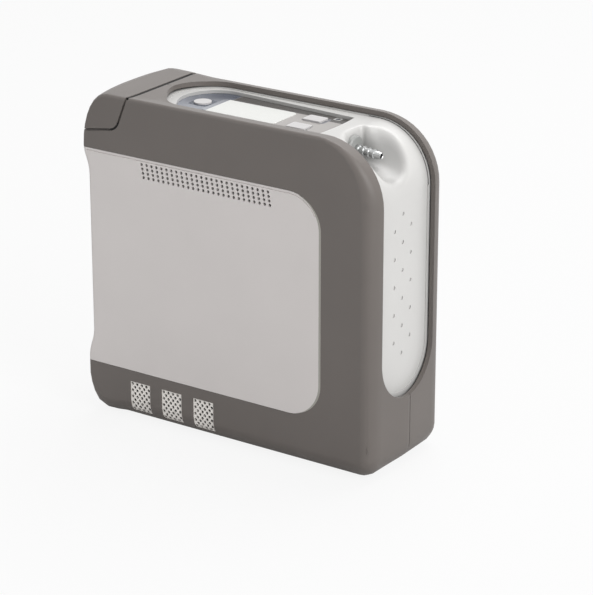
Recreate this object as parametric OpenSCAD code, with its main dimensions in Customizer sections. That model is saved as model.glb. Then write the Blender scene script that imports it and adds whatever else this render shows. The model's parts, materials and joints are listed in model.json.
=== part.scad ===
// Portable oxygen concentrator: two moulded casing halves round an inner chassis,
// with a removable battery, a twin-cylinder compressor and two sieve beds.
// X runs right along the front, Y from front to rear, Z up from the feet.

/* [Casing] */
// Width of the casing across the front
body_w = 215; // [205:1:230]
// Depth of the casing from front face to rear face
body_d = 80; // [78:1:86]
// Height of the casing above the feet
body_h = 212; // [208:1:225]
// Wall of both casing shells
wall = 3; // [2.4:0.1:3.4]
// Radius of the top right corner, seen from the front
corner_top_r = 41; // [36:1:46]
// Radius of the lower right corner, seen from the front
corner_low_r = 14; // [13.5:0.5:18]
// Radius of the lower left corner, seen from the front
corner_grip_r = 24; // [18:1:28]
// Width of the rounded shoulder at the top left
shoulder_w = 20; // [16:1:24]
// Height of the rounded shoulder at the top left
shoulder_h = 35; // [28:1:40]
// Edge radius along the front of the top
edge_top = 2; // [1.5:0.5:4]
// Edge radius along the rear of the top
edge_top_rear = 12; // [8:1:13]
// Edge radius down the right side
edge_right = 8; // [5:0.5:9]
// Edge radius down the left side
edge_left = 2.5; // [1.5:0.5:4]
// Edge radius along the bottom
edge_bottom = 13; // [8:1:13]
// How far the right side bulges at mid-depth
side_crown = 2; // [0.5:0.5:2.5]
// How far the top dips towards the band slot
lip_drop = 1.7; // [0.5:0.1:2]
// Height of the feet below the casing
foot_h = 1; // [0.6:0.2:3]

/* [Grip panels] */
// How far the left side is drawn in for the fingers
grip_depth = 4; // [2:0.5:5]
// Height over which the grip fades in and out
grip_blend = 18; // [12:1:24]
// Thickness of the light panels
panel_t = 1.6; // [1.2:0.1:1.8]
// Right edge of the panels, from the middle of the casing
panel_right = 69.5; // [60:0.5:74]
// Lower edge of the panels above the ground
panel_low = 34.5; // [33:0.5:40]
// Upper edge of the panels above the ground
panel_high = 176.5; // [174:0.5:178]
// Corner radius of the panels
panel_corner_r = 22.5; // [15:0.5:28]
// Gap line round the panels
panel_gap = 0.25; // [0.15:0.05:0.5]
// Diameter of the vent holes in the panels
vent_d = 2; // [1.4:0.1:2.2]
// Number of vent columns
vent_cols = 26; // [16:1:27]
// Number of vent rows
vent_rows = 4; // [2:1:4]
// Distance between vent columns
vent_pitch = 3.75; // [3:0.05:3.9]
// Distance between vent rows
vent_row_pitch = 2.7; // [2.6:0.1:3]

/* [Grilles] */
// Number of grilles in each shell
grille_n = 3; // [1:1:3]
// Width of one grille
grille_w = 15.6; // [12:0.1:18]
// Height of one grille
grille_h = 20.5; // [14:0.5:22]
// Distance between grilles
grille_pitch = 24.5; // [22:0.5:26]
// Middle of the first grille, from the middle of the casing
grille_first = -66.4; // [-68:0.1:-60]
// Lower edge of the grilles above the ground
grille_low = 6.5; // [6:0.5:8]
// Thickness of the perforated plate
grille_t = 1; // [0.6:0.1:1.2]
// Diameter of the perforations
perf_d = 2; // [1.4:0.1:2.2]
// Distance between perforations in a row
perf_pitch = 3.6; // [3.2:0.1:4]

/* [Centre band] */
// Width of the slot that shows the band
slot_w = 57.4; // [52:0.2:60]
// Left end of the slot on top, from the middle of the casing
slot_left = -69; // [-70:0.5:-64]
// Lower end of the slot on the right side above the ground
slot_low = 46; // [40:1:60]
// Depth of the band's floor under the casing's outline
band_drop = 5.6; // [5:0.1:6.5]
// Thickness of the band
band_t = 2.2; // [1.8:0.1:2.6]
// How far the band reaches under the shells
band_lap = 2.4; // [1.5:0.1:3]
// Width of the sloped border inside the slot
band_border = 2; // [1:0.5:3]

/* [Control window] */
// Width of the window from front to rear
window_w = 50; // [44:0.5:52]
// Left end of the window
window_left = -60.5; // [-64:0.5:-56]
// Right end of the window
window_right = 52; // [48:0.5:54]
// Depth of the window under the casing's outline
window_drop = 7.6; // [7:0.1:8.4]
// Thickness of the window
window_t = 1.5; // [1:0.1:2]
// Length of the display
lcd_l = 50.6; // [46:0.2:54]
// Width of the display
lcd_w = 26; // [24:0.5:28]
// Middle of the display, from the middle of the casing
lcd_x = -11; // [-14:0.5:-8]
// Thickness of the display
lcd_t = 1.8; // [1.2:0.1:2]
// Diameter of the power key
power_d = 11; // [9:0.5:12]
// Middle of the power key, from the middle of the casing
power_x = -43.8; // [-46:0.2:-42]
// Length of a setting key
key_l = 13; // [10:0.5:14]
// Width of a setting key
key_w = 9.6; // [7:0.2:10]
// Distance between the two setting keys
key_pitch = 17.6; // [16:0.2:19]
// Middle of the setting keys, from the middle of the casing
key_x = 33.5; // [31:0.5:35]
// How far the keys stand above the window
key_proud = 0.9; // [0.9:0.05:1.2]
// Travel of every key
key_travel = 0.8; // [0.5:0.1:0.8]
// Gap round every key
key_gap = 0.35; // [0.3:0.05:0.5]
// Diameter of the status light
light_d = 3; // [2:0.2:4]

/* [Oxygen outlet] */
// Outer diameter of the barb's ridges
barb_d = 6.3; // [6:0.1:7]
// Length of the barb in front of its collar
barb_l = 20; // [16:0.5:21]
// Bore through the barb
barb_bore = 2.6; // [2:0.1:3]
// Diameter of the collar
collar_d = 15.6; // [12:0.2:16]
// Thickness of the collar
collar_t = 3; // [2:0.5:4]
// Downward tilt of the outlet in degrees
outlet_tilt = 5; // [0:1:8]
// Radius of the finger dish round the outlet
dish_r = 17.5; // [16:0.5:18]

/* [Battery] */
// Diameter of one cell
cell_d = 18.4; // [17.5:0.1:18.6]
// Length of one cell
cell_l = 65; // [60:0.5:66]
// Number of cells in the stack
cell_n = 8; // [6:1:8]
// Wall of the battery case
case_wall = 1.6; // [1.2:0.1:1.8]
// Running clearance between battery and bay
bay_clear = 0.4; // [0.3:0.05:0.5]
// Wall of the bay sleeve
sleeve_t = 1.4; // [1:0.1:1.6]
// Height of the corner cap's lower right corner above the ground
cap_low = 192; // [191:0.5:194]
// Fall of the cap's lower edge towards the left
cap_fall = 4.4; // [0:0.2:4.4]
// Right edge of the corner cap on top, from the middle of the casing
cap_right = -72.5; // [-74:0.5:-72]
// How far the cap's right edge slants in on its way down
cap_slant = 8.5; // [6:0.5:10]
// Radius of the cap's lower right corner
cap_corner_r = 8; // [4:0.5:10]
// Gap line round the corner cap
cap_gap = 0.5; // [0.4:0.05:0.8]

/* [Compressor] */
// Diameter of the motor can
motor_d = 44; // [38:1:48]
// Length of the motor can
motor_l = 34; // [28:1:36]
// Diameter of the crank shaft
shaft_d = 6; // [5:0.5:8]
// Offset of the eccentric from the shaft
crank_throw = 2.5; // [1.5:0.25:3]
// Diameter of the eccentric
eccentric_d = 14; // [12:0.5:15]
// Outer diameter of the cylinder barrels
barrel_d = 30; // [27:0.5:31]
// Bore of the cylinders
bore_d = 24; // [20:0.5:25]
// Number of cooling fins on each barrel
fin_n = 5; // [3:1:6]
// Height of the shaft above the ground
shaft_z = 46; // [44:1:48]

/* [Sieve beds and gas path] */
// Diameter of a sieve bed
bed_d = 33; // [28:0.5:34]
// Length of a sieve bed
bed_l = 146; // [120:1:148]
// Diameter of the product tank
tank_d = 34; // [28:0.5:35]
// Length of the product tank
tank_l = 84; // [70:1:88]
// Outer diameter of the gas tubes
tube_d = 7; // [5:0.5:8]
// Diameter of the fan's blades
fan_d = 54; // [46:1:55]
// Depth of the fan
fan_t = 15; // [12:0.5:16]
// Diameter of the power plug's mouth
inlet_d = 6; // [5:0.1:8]

/* [Hidden] */
$fn = 48;

shell_grey = "#6b6563";
panel_grey = "#bcb8b6";
band_white = "#e2e1e0";

// Places that follow from the sizes above
half_w = body_w / 2;
half_d = body_d / 2;
base_z = foot_h;
top_z = foot_h + body_h;
far = 300;
fit_gap = 0.3;

// Unit vector along v
function unit(v) = v / norm(v);

// Points along an elliptical arc, both ends included
function arc(cx, cz, rx, rz, from, to, n) =
    [for (i = [0:n]) let (a = from + (to - from) * i / n) [cx + rx * cos(a), cz + rz * sin(a)]];

// Smooth step from 0 to 1 as t runs from 0 to 1
function ease(t) = let (c = min(max(t, 0), 1)) c * c * (3 - 2 * c);

// Arc of radius r that rounds the corner a-b-c
function round_corner(a, b, c, r, n) =
    let (u = unit(a - b), v = unit(c - b), half = acos(u * v) / 2,
        o = b + unit(u + v) * r / sin(half),
        p = b + u * r / tan(half) - o, q = b + v * r / tan(half) - o,
        a0 = atan2(p[1], p[0]), turn = (atan2(q[1], q[0]) - a0 + 540) % 360 - 180)
    [for (i = [0:n]) o + r * [cos(a0 + turn * i / n), sin(a0 + turn * i / n)]];

// Depth of the finger grip at height z
function grip_at(z) =
    grip_depth * ease((panel_high - z) / grip_blend) * ease((z - panel_low - 3) / grip_blend);

// Outline of the casing seen from the front, anticlockwise
grip_mid = (panel_low + panel_high) / 2;
grip_steps = 5;
outline = concat(
    arc(half_w - corner_low_r, base_z + corner_low_r, corner_low_r, corner_low_r, -90, 0, 6),
    arc(half_w - corner_top_r, top_z - corner_top_r, corner_top_r, corner_top_r, 0, 90, 12),
    [for (x = [slot_left + 18, slot_left + 10, slot_left + 2, slot_left - 6, slot_left - 12]) [x, top_z]],
    arc(shoulder_w - half_w, top_z - shoulder_h, shoulder_w, shoulder_h, 90, 180, 8),
    [for (i = [0:grip_steps]) let (z = panel_high - grip_blend * i / grip_steps) [grip_at(z) - half_w, z]],
    [for (i = [grip_steps:-1:0]) let (z = panel_low + 3 + grip_blend * i / grip_steps) [grip_at(z) - half_w, z]],
    arc(corner_grip_r - half_w, base_z + corner_grip_r, corner_grip_r, corner_grip_r, 180, 270, 6));
outline_n = len(outline);

// Outward normal at point i of the outline
function normal_at(i) =
    let (a = outline[(i + outline_n - 1) % outline_n], b = outline[(i + 1) % outline_n])
    unit([b[1] - a[1], a[0] - b[0]]);

// The outline moved inwards by d
function outline_inset(d) = [for (i = [0:outline_n - 1]) outline[i] - normal_at(i) * d];

// Edge radius for normal n on the front (side -1) or the rear (side 1)
function edge_at(n, side) =
    (n[1] > 0 ? (side > 0 ? edge_top_rear : edge_top) : edge_bottom) * n[1] * n[1]
    + (n[0] > 0 ? edge_right : edge_left) * n[0] * n[0];

// How far the surface lies under the outline at depth y: side bulge and lip of the slot
function form_at(p, n, y) =
    side_crown * pow(max(n[0], 0), 2) * pow(y / half_d, 2)
    + lip_drop * pow(max(n[1], 0), 2) * ease((p[0] - slot_left + 12) / 24)
        * min(max((half_d - 2 - abs(y)) / (half_d - 2 - slot_w / 2), 0), 1);

// One ring of the casing's front half at angle phi round its edge, d inside the outer surface.
// For side 1 it has the rear's edge radii and is mirrored later.
function edge_ring(side, phi, d) = [for (i = [0:outline_n - 1])
    let (n = normal_at(i), r = max(edge_at(n, side) - d, 0.5),
        y = -(half_d - d - r * (1 - sin(phi))),
        q = d + r * (1 - cos(phi)) + form_at(outline[i], n, y))
    [outline[i][0] - n[0] * q, y, outline[i][1] - n[1] * q]];

// One ring of the casing at depth y
function mid_ring(y, d) = [for (i = [0:outline_n - 1])
    let (n = normal_at(i), q = d + form_at(outline[i], n, y))
    [outline[i][0] - n[0] * q, y, outline[i][1] - n[1] * q]];

// The ring beside the slot, kept inside the edge's own radius all round
function lip_ring(side, d) = [for (i = [0:outline_n - 1])
    let (n = normal_at(i), r = max(edge_at(n, side), d + 0.5), y = -min(lip_y, half_d - r - 0.5),
        q = d + form_at(outline[i], n, y))
    [outline[i][0] - n[0] * q, y, outline[i][1] - n[1] * q]];

// Middle of a ring's points
function middle(ring) = [for (a = [0:2]) [for (p = ring) p[a]] * [for (p = ring) 1] / len(ring)];

// Closed skin over a stack of rings with the same number of points
module loft(rings) {
    n = len(rings[0]);
    last = len(rings) - 1;
    tip = (last + 1) * n;
    polyhedron(
        points = concat([for (r = rings) each r], [middle(rings[0]), middle(rings[last])]),
        faces = concat(
            [for (i = [0:n - 1]) [tip, (i + 1) % n, i]],
            [for (k = [0:last - 1], i = [0:n - 1]) [k * n + i, k * n + (i + 1) % n, (k + 1) * n + i]],
            [for (k = [0:last - 1], i = [0:n - 1])
                [(k + 1) * n + i, k * n + (i + 1) % n, (k + 1) * n + (i + 1) % n]],
            [for (i = [0:n - 1]) [tip + 1, last * n + i, last * n + (i + 1) % n]]));
}

// Depth of the rings beside the slot, a little inside it so that no edge lies on its wall
lip_y = slot_w / 2 - 0.4;

// Mirrors its children from front to rear for side 1
module facing(side) {
    if (side > 0) mirror([0, 1, 0]) children();
    else children();
}

// One half of the casing as a solid, d inside its outer surface, up to depth seam
edge_fine = [90, 68, 45, 22, 0];
edge_few = [90, 45, 22, 0];
module half_block(side, d, angles, seam) {
    facing(side) loft(concat([for (a = angles) edge_ring(side, a, d)], [lip_ring(side, d), mid_ring(seam, d)]));
}

// The skin of one half, from d0 to d1 inside the surface
module skin(side, d0, d1, seam = 0, angles = edge_few) {
    difference() {
        half_block(side, d0, edge_fine, seam);
        half_block(side, d1, angles, 1);
    }
}

// Extrudes a front-view outline through the depth, from y0 to y1
module through(y0, y1) {
    translate([0, y1, 0]) rotate([90, 0, 0]) linear_extrude(y1 - y0) children();
}

// The slot for the band, grown by g: a round end on top, round the corner, a round end low down
slot_r = slot_w / 2;
corner_x = half_w - corner_top_r;
corner_z = top_z - corner_top_r;
module slot_region(g) {
    translate([0, 0, corner_z]) linear_extrude(far) {
        translate([slot_left + slot_r, 0]) circle(r = slot_r + g);
        translate([slot_left + slot_r, -slot_r - g]) square([far, 2 * (slot_r + g)]);
    }
    translate([corner_x, 0, 0]) rotate([90, 0, 90]) linear_extrude(far) {
        translate([0, slot_low + slot_r]) circle(r = slot_r + g);
        translate([-slot_r - g, slot_low + slot_r]) square([2 * (slot_r + g), corner_z + 1 - slot_low - slot_r]);
    }
}

// Front view of the panels, grown by g
module panel_outline(g) {
    r = panel_corner_r;
    polygon(concat(
        [[-far, panel_low - g]],
        arc(panel_right - r, panel_low + r, r + g, r + g, -90, 0, 10),
        arc(panel_right - r, panel_high - r, r + g, r + g, 0, 90, 10),
        [[-far, panel_high + g]]));
}

// Front view of the corner cap, grown by g
module cap_outline(g) {
    top = [cap_right + g, top_z];
    low = [cap_right - cap_slant + g, cap_low - g];
    left = [-half_w, cap_low - cap_fall - g];
    polygon(concat(
        [[-far, far], [top[0], far], top],
        round_corner(top, low, left, cap_corner_r + g, 6),
        [left, [-far, left[1]]]));
}

// Middles of the grilles, along the front
grille_at = [for (i = [0:grille_n - 1]) grille_first + i * grille_pitch];
grille_sink = 0.4;
grille_ledge = 0.9;

// Front view of the grille openings, shrunk by g
module grille_openings(g) {
    for (x = grille_at)
        translate([x - grille_w / 2 + g, grille_low + g]) square([grille_w - 2 * g, grille_h - 2 * g]);
}

// Middles of the vent holes in the front view
vent_left = -61.5;
vent_top = 172.8;
vent_skew = 0.45;
vent_at = [for (r = [0:vent_rows - 1], c = [0:vent_cols - 1])
    [vent_left + c * vent_pitch + r * vent_skew, vent_top - r * vent_row_pitch]];
vent_border = 2;
vent_from = vent_at[0] + [-vent_border, vent_border];
vent_to = vent_at[len(vent_at) - 1] + [vent_border, -vent_border];

// Opening behind the vent field, grown by g
module vent_opening(g) {
    translate([vent_from[0] - g, vent_to[1] - g])
        square([vent_to[0] - vent_from[0] + 2 * g, vent_from[1] - vent_to[1] + 2 * g]);
}

// Casing screws: a boss from each shell meets at the seam
boss_d = 8;
screw_d = 3;
screw_head_d = 5.6;
screw_head_h = 2.4;
screw_seat = 8;
screw_l = 20;
boss_at = [[-86, 18], [99.2, 22], [-68, 190], [48, 179.5]];

// A front-view disc at every boss, r in radius
module boss_discs(r) {
    for (p = boss_at) translate(p) circle(r = r);
}

// Feet
foot_d = 14;
foot_sink = 0.8;
foot_play = 0.15;
foot_at = [[-72, -17], [-72, 17], [78, -17], [78, 17]];
module foot_discs(g) {
    for (p = foot_at) translate(p) circle(d = foot_d + 2 * g);
}

// Cut that leaves a pocket of the given depth in the skin
module pocket(side, deep) {
    difference() {
        facing(side) through(-far, 1) children();
        half_block(side, deep, edge_few, 2);
    }
}

// One casing shell with its panel pocket, slot, cap corner, grille pockets and vents
module shell(side) {
    difference() {
        skin(side, 0, wall);
        slot_region(0);
        through(-far, far) cap_outline(cap_gap);
        pocket(side, panel_t) panel_outline(panel_gap);
        pocket(side, grille_sink + grille_t) grille_openings(0);
        through(-far, far) grille_openings(grille_ledge);
        facing(side) through(-far, 0) vent_opening(0);
        translate([0, 0, base_z - 1]) linear_extrude(foot_sink + 1) foot_discs(foot_play);
        if (side > 0) {
            through(0, far) boss_discs(screw_head_d / 2 + screw_play * 2);
            inlet_place() cylinder(d = inlet_body_d + 0.2, h = far);
        }
    }
    shell_bosses(side);
}

// The shell's screw bosses: threaded pilots in front, counterbored holes at the rear
boss_root = half_d - wall / 2;
screw_play = 0.2;
module shell_bosses(side) {
    facing(side) difference() {
        through(-boss_root, 0) boss_discs(boss_d / 2);
        if (side < 0) through(screw_seat - screw_l - 1, 1) boss_discs(screw_d / 2);
        if (side > 0) {
            through(-far, 1) boss_discs(screw_d / 2 + screw_play);
            through(-far, -screw_seat) boss_discs(screw_head_d / 2 + screw_play * 2);
        }
    }
}

module front_shell() {
    color(shell_grey) shell(-1);
}

module rear_shell() {
    color(shell_grey) shell(1);
}

// A light panel: vent field in front, grip round the left edge
module panel(side) {
    intersection() {
        skin(side, 0, panel_t, seam = -panel_gap / 2);
        through(-far, far) difference() {
            panel_outline(0);
            for (p = vent_at) translate(p) circle(d = vent_d, $fn = 16);
        }
    }
}

module front_panel() {
    color(panel_grey) panel(-1);
}

module rear_panel() {
    color(panel_grey) panel(1);
}

// Perforated plates that follow the curve of the lower edge
perf_rows = floor((grille_h - perf_d) / (perf_pitch * 0.62));
perf_row_pitch = (grille_h - perf_d - 1.2) / perf_rows;
perf_cols = floor((grille_w - perf_d / 2) / perf_pitch);
module grilles(side) {
    intersection() {
        skin(side, grille_sink, grille_sink + grille_t, angles = edge_fine);
        through(-far, far) difference() {
            grille_openings(0.1);
            for (x = grille_at, r = [0:perf_rows], c = [0:perf_cols - 1])
                translate([x + (c - (perf_cols - 1) / 2 + (r % 2) / 2 - 0.25) * perf_pitch,
                    grille_low + perf_d / 2 + 0.6 + r * perf_row_pitch])
                    circle(d = perf_d, $fn = 16);
        }
    }
}

module front_grilles() {
    color("#d0cbc4") grilles(-1);
}

module rear_grilles() {
    color("#d0cbc4") grilles(1);
}

// Control window: round left end, slightly bowed right end, grown by g
window_z = top_z - window_drop;
window_bow = 150;
module window_outline(g) {
    intersection() {
        union() {
            translate([window_left + window_w / 2, 0]) circle(d = window_w + 2 * g);
            translate([window_left + window_w / 2, -window_w / 2 - g])
                square([body_w, window_w + 2 * g]);
        }
        translate([window_right - window_bow, 0]) circle(r = window_bow + g, $fn = 180);
    }
}

// Plan view of the keys, grown by g
key_r = 1.2;
key_y = key_pitch / 2;
module power_outline(g) {
    translate([power_x, 0]) circle(d = power_d + 2 * g);
}
module key_outline(y, g) {
    x = key_l / 2 - key_r;
    z = key_w / 2 - key_r;
    translate([key_x, y]) {
        for (sx = [-1, 1], sz = [-1, 1]) translate([sx * x, sz * z]) circle(r = key_r + g, $fn = 24);
        square([key_l + 2 * g, key_w - 2 * key_r], center = true);
        square([key_l - 2 * key_r, key_w + 2 * g], center = true);
    }
}
light_at = [44.5, 17];
module light_outline(g) {
    translate(light_at) circle(d = light_d + 2 * g);
}

// Oxygen outlet: places its children on the outlet's axis, which points along local Z
outlet_at = [half_w - 39, 0, top_z - 17.3];
module at_outlet() {
    translate(outlet_at) rotate([0, 90 + outlet_tilt, 0]) children();
}

// Finger dish at the corner: a capsule of radius r, lying along the corner's tangent
dish_angle = 48.5;
dish_span = 11;
module dish(r) {
    translate([corner_x + corner_top_r * cos(dish_angle), 0, corner_z + corner_top_r * sin(dish_angle)])
        rotate([0, -dish_angle, 0]) rotate_extrude() intersection() {
            union() {
                for (s = [-1, 1]) translate([0, s * dish_span / 2]) circle(r = r);
                square([2 * r, dish_span], center = true);
            }
            translate([0, -far]) square([far, 2 * far]);
        }
}

// Side view of everything more than d under the top, the corner and the right side
module under_skin(d) {
    translate([-far, -far]) square([far + corner_x, far + top_z - d]);
    translate([-far, -far]) square([far + half_w - d, far + corner_z]);
    translate([corner_x, corner_z]) circle(r = corner_top_r - d);
}

// Dimples down the band's side, in three staggered columns
dimple_d = 2.4;
dimple_deep = 0.5;
dimple_pitch = 17.7;
dimple_columns = 9;
dimple_high = 161.3;
dimple_n = 6;
module dimples() {
    for (k = [-1, 0, 1], i = [0:dimple_n - 1 - abs(k)])
        translate([half_w - band_drop - dimple_deep, k * dimple_columns,
            dimple_high - (i + abs(k) / 2) * dimple_pitch])
            rotate([0, 90, 0]) cylinder(d = dimple_d, h = 2, $fn = 16);
}

// White band: a tray under the slot with the window's tub, the outlet's dish and its collar seat
flange_drop = wall + max(lip_drop, side_crown) + 0.1;
tub_t = 2;
tub_z = window_z - window_t - tub_t;
board_z = tub_z - 3.9;
post_d = 4;
post_at = [[-30, 19], [-30, -19], [22, 19], [22, -19]];
module band_tray() {
    intersection() {
        slot_region(band_lap);
        through(-far, far) difference() {
            under_skin(flange_drop);
            under_skin(band_drop + band_t);
        }
    }
}
module dish_bowl() {
    intersection() {
        dish(dish_r + band_t);
        slot_region(band_lap);
        through(-far, far) under_skin(flange_drop);
    }
}
module collar_seat() {
    intersection() {
        at_outlet() translate([0, 0, -collar_t - band_t])
            cylinder(d = collar_d + 2 * band_t, h = collar_t + band_t + 9);
        through(-far, far) under_skin(band_drop);
    }
}
module window_tub() {
    translate([0, 0, tub_z]) linear_extrude(top_z - band_drop - band_t / 2 - tub_z) window_outline(band_t);
    translate([0, 0, board_z]) linear_extrude(tub_z - board_z + tub_t / 2)
        for (p = post_at) translate(p) circle(d = post_d);
}
module band_cuts() {
    intersection() {
        slot_region(-band_border);
        through(-far, far) difference() {
            translate([-far, 0]) square([2 * far, far]);
            under_skin(band_drop);
        }
    }
    translate([0, 0, window_z - window_t]) linear_extrude(far) window_outline(0.1);
    translate([0, 0, tub_z - 1]) linear_extrude(tub_t + 2) {
        translate([lcd_x, 0]) square([lcd_l + 0.4, lcd_w + 0.4], center = true);
        power_outline(key_gap);
        key_outline(key_y, key_gap);
        key_outline(-key_y, key_gap);
        light_outline(0.1);
    }
    dish(dish_r);
    at_outlet() translate([0, 0, -collar_t]) cylinder(d = collar_d, h = 28);
    at_outlet() translate([0, 0, -20]) cylinder(d = tail_d + 0.6, h = 30);
    dimples();
}
module centre_band() {
    color(band_white) difference() {
        union() {
            band_tray();
            dish_bowl();
            collar_seat();
            window_tub();
        }
        band_cuts();
    }
}

module display_window() {
    color("#7a828c") translate([0, 0, window_z - window_t]) linear_extrude(window_t) difference() {
        window_outline(0);
        power_outline(key_gap);
        key_outline(key_y, key_gap);
        key_outline(-key_y, key_gap);
        light_outline(0.1);
    }
}

module lcd_screen() {
    color("#eceeec") translate([lcd_x, 0, window_z - window_t - lcd_t / 2])
        cube([lcd_l, lcd_w, lcd_t], center = true);
}

// A key: shaped head through the window, wider flange under the tub
flange_t = 1.2;
flange_w = 0.8;
flange_z = tub_z - fit_gap - flange_t;
module key(wide) {
    translate([0, 0, flange_z + flange_t]) linear_extrude(window_z + key_proud - flange_z - flange_t)
        children(0);
    translate([0, 0, flange_z]) linear_extrude(flange_t) children(1);
}

module power_button() {
    color("#e6e9ee") key() {
        power_outline(0);
        power_outline(flange_w);
    }
}

module increase_button() {
    color("#dcdde0") key() {
        key_outline(key_y, 0);
        key_outline(key_y, flange_w);
    }
}

module decrease_button() {
    color("#dcdde0") key() {
        key_outline(-key_y, 0);
        key_outline(-key_y, flange_w);
    }
}

module status_light() {
    color("#8fd18a") translate([0, 0, board_z]) linear_extrude(window_z - board_z) light_outline(0);
}

// Control board under the window, with a switch below each key
board_t = 1.6;
switch_w = 6;
switch_h = flange_z - key_travel - fit_gap - board_z;
module control_board() {
    color("#2f6b45") {
        translate([-55, -22, board_z - board_t]) cube([102, 44, board_t]);
        for (p = [[power_x, 0], [key_x, key_y], [key_x, -key_y]])
            translate([p[0], p[1], board_z + switch_h / 2]) cube([switch_w, switch_w, switch_h], center = true);
    }
}

buzzer_d = 12;
module buzzer() {
    color("#222222") translate([5, -12, board_z - board_t - 6]) difference() {
        cylinder(d = buzzer_d, h = 6);
        translate([0, 0, -1]) cylinder(d = 2, h = 3);
    }
}

module outlet_collar() {
    color("#a9aaa8") at_outlet() translate([0, 0, -collar_t]) rotate_extrude()
        polygon([[barb_root_d / 2, 0], [collar_d / 2, 0], [collar_d / 2, collar_t - 0.8],
            [collar_d / 2 - 0.8, collar_t], [barb_root_d / 2, collar_t]]);
}

// Barbed spigot: root, ridges that each fall to a narrow neck, then the tail inside
barb_n = 4;
barb_root_d = barb_d - 1.1;
barb_neck_d = barb_d - 1.6;
barb_tip_d = 4.2;
barb_pitch = 3.6;
barb_land = 0.8;
tail_d = 5;
tail_l = 11;
module outlet_barb() {
    first = barb_l - barb_n * barb_pitch;
    color("#d9dcdc") at_outlet() rotate_extrude() polygon(concat(
        [[barb_bore / 2, -tail_l], [tail_d / 2, -tail_l], [tail_d / 2, -collar_t], [barb_root_d / 2, -collar_t],
            [barb_root_d / 2, first]],
        [for (i = [0:barb_n - 1]) let (z = first + i * barb_pitch,
            next = i == barb_n - 1 ? barb_tip_d : barb_neck_d)
            each [[barb_d / 2, z], [barb_d / 2, z + barb_land], [next / 2, z + barb_pitch]]],
        [[barb_bore / 2, barb_l]]));
}

// Power inlet: a socket in the rear shell, its pin set back behind the mouth
inlet_at = [58, 21];
inlet_mouth_l = 6;
inlet_body_d = 10;
inlet_body_l = 13.5;
inlet_rim_d = 13;
inlet_rim_t = 1.5;
module inlet_place() {
    translate([inlet_at[0], 0, inlet_at[1]]) rotate([-90, 0, 0]) children();
}
module power_inlet() {
    back = half_d - inlet_body_l;
    color("#1d1d1f") inlet_place() {
        difference() {
            union() {
                translate([0, 0, back]) cylinder(d = inlet_body_d, h = inlet_body_l);
                translate([0, 0, half_d - wall - inlet_rim_t]) cylinder(d = inlet_rim_d, h = inlet_rim_t);
            }
            translate([0, 0, half_d - inlet_mouth_l]) cylinder(d = inlet_d, h = far);
            translate([0, 0, back + 2]) cylinder(d = inlet_d - 0.8, h = inlet_body_l);
        }
        translate([0, 0, back + 1]) cylinder(d = 1.6, h = inlet_body_l - inlet_mouth_l - 2);
    }
}

module feet() {
    color("#2a2a2a") linear_extrude(foot_h + foot_sink) foot_discs(0);
}

module case_screws() {
    color("#3a3a3c") for (p = boss_at) translate([p[0], screw_seat, p[1]]) rotate([-90, 0, 0]) difference() {
        union() {
            translate([0, 0, -screw_l]) cylinder(d = screw_d, h = screw_l);
            cylinder(d = screw_head_d, h = screw_head_h);
        }
        translate([0, 0, 1]) cylinder(d = 2.8, h = 5, $fn = 6);
    }
}

// Battery's place and outside
batt_x = -87.5;
batt_w = cell_d + 2 * case_wall + 0.4;
batt_d = cell_l + 2 * case_wall + 1.6;
batt_low = 38;
cell_pitch = cell_d + 0.2;
batt_top = batt_low + 2 * case_wall + cell_n * cell_pitch + 0.4;

// Chassis: floor plate, shelf on four posts, bed cradle, tank saddles and board rail
shelf_left = batt_x + batt_w / 2 + bay_clear + sleeve_t;
shelf_right = 59;
plate_z = base_z + wall;
plate_t = 2.5;
floor_z = plate_z + plate_t;
shelf_z = 104;
shelf_top = shelf_z + plate_t;
chassis_post = 6;
fan_x = -10;
bed_x = 78;
bed_y = 18;
bed_z = 10;
tank_y = 16;
tank_x = 6;
tank_z = shelf_top + 2 + tank_d / 2;
board_y = -34;
main_board_t = 1.6;
module chassis() {
    color("#b9bcbd") difference() {
        union() {
            translate([-78, -26.5, plate_z]) cube([170, 53, plate_t]);
            for (x = [-66, 54.6], y = [-22, 22])
                translate([x - chassis_post / 2, y - chassis_post / 2, plate_z])
                    cube([chassis_post, chassis_post, shelf_z - plate_z + 1]);
            translate([shelf_left, -36, shelf_z]) cube([shelf_right - shelf_left, 72, plate_t]);
            translate([bed_x - 18, -26, plate_z]) cube([33.5, 52, bed_z + 3 - plate_z]);
            for (x = [tank_x - 26, tank_x + 26])
                translate([x - 2, tank_y - tank_d / 2 + 2, shelf_z + 1]) cube([4, tank_d - 4, 10]);
            translate([-66, board_y - 1.8, shelf_z + 1]) cube([94, 4.8, 5.5]);
        }
        translate([fan_x, 0, shelf_z - 1]) cylinder(d = fan_d + 1, h = plate_t + 2);
        for (y = [-bed_y, bed_y]) translate([bed_x, y, bed_z]) cylinder(d = bed_d + 0.1, h = far);
        translate([tank_x, tank_y, tank_z]) rotate([0, 90, 0]) cylinder(d = tank_d, h = far, center = true);
        translate([-66.5, board_y, shelf_top + 1.5]) cube([95, main_board_t, 10]);
        translate([gas_filter_at[0], gas_filter_at[1], shelf_z - 1]) cylinder(d = 8, h = plate_t + 2);
        translate([53.5, -1, shelf_z - 1]) cube([10, 13, plate_t + 2]);
    }
}

// Battery: a case of cells that lifts out of its bay with the corner cap on top
module upright_box(w, d, z0, z1) {
    translate([batt_x - w / 2, -d / 2, z0]) cube([w, d, z1 - z0]);
}

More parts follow.
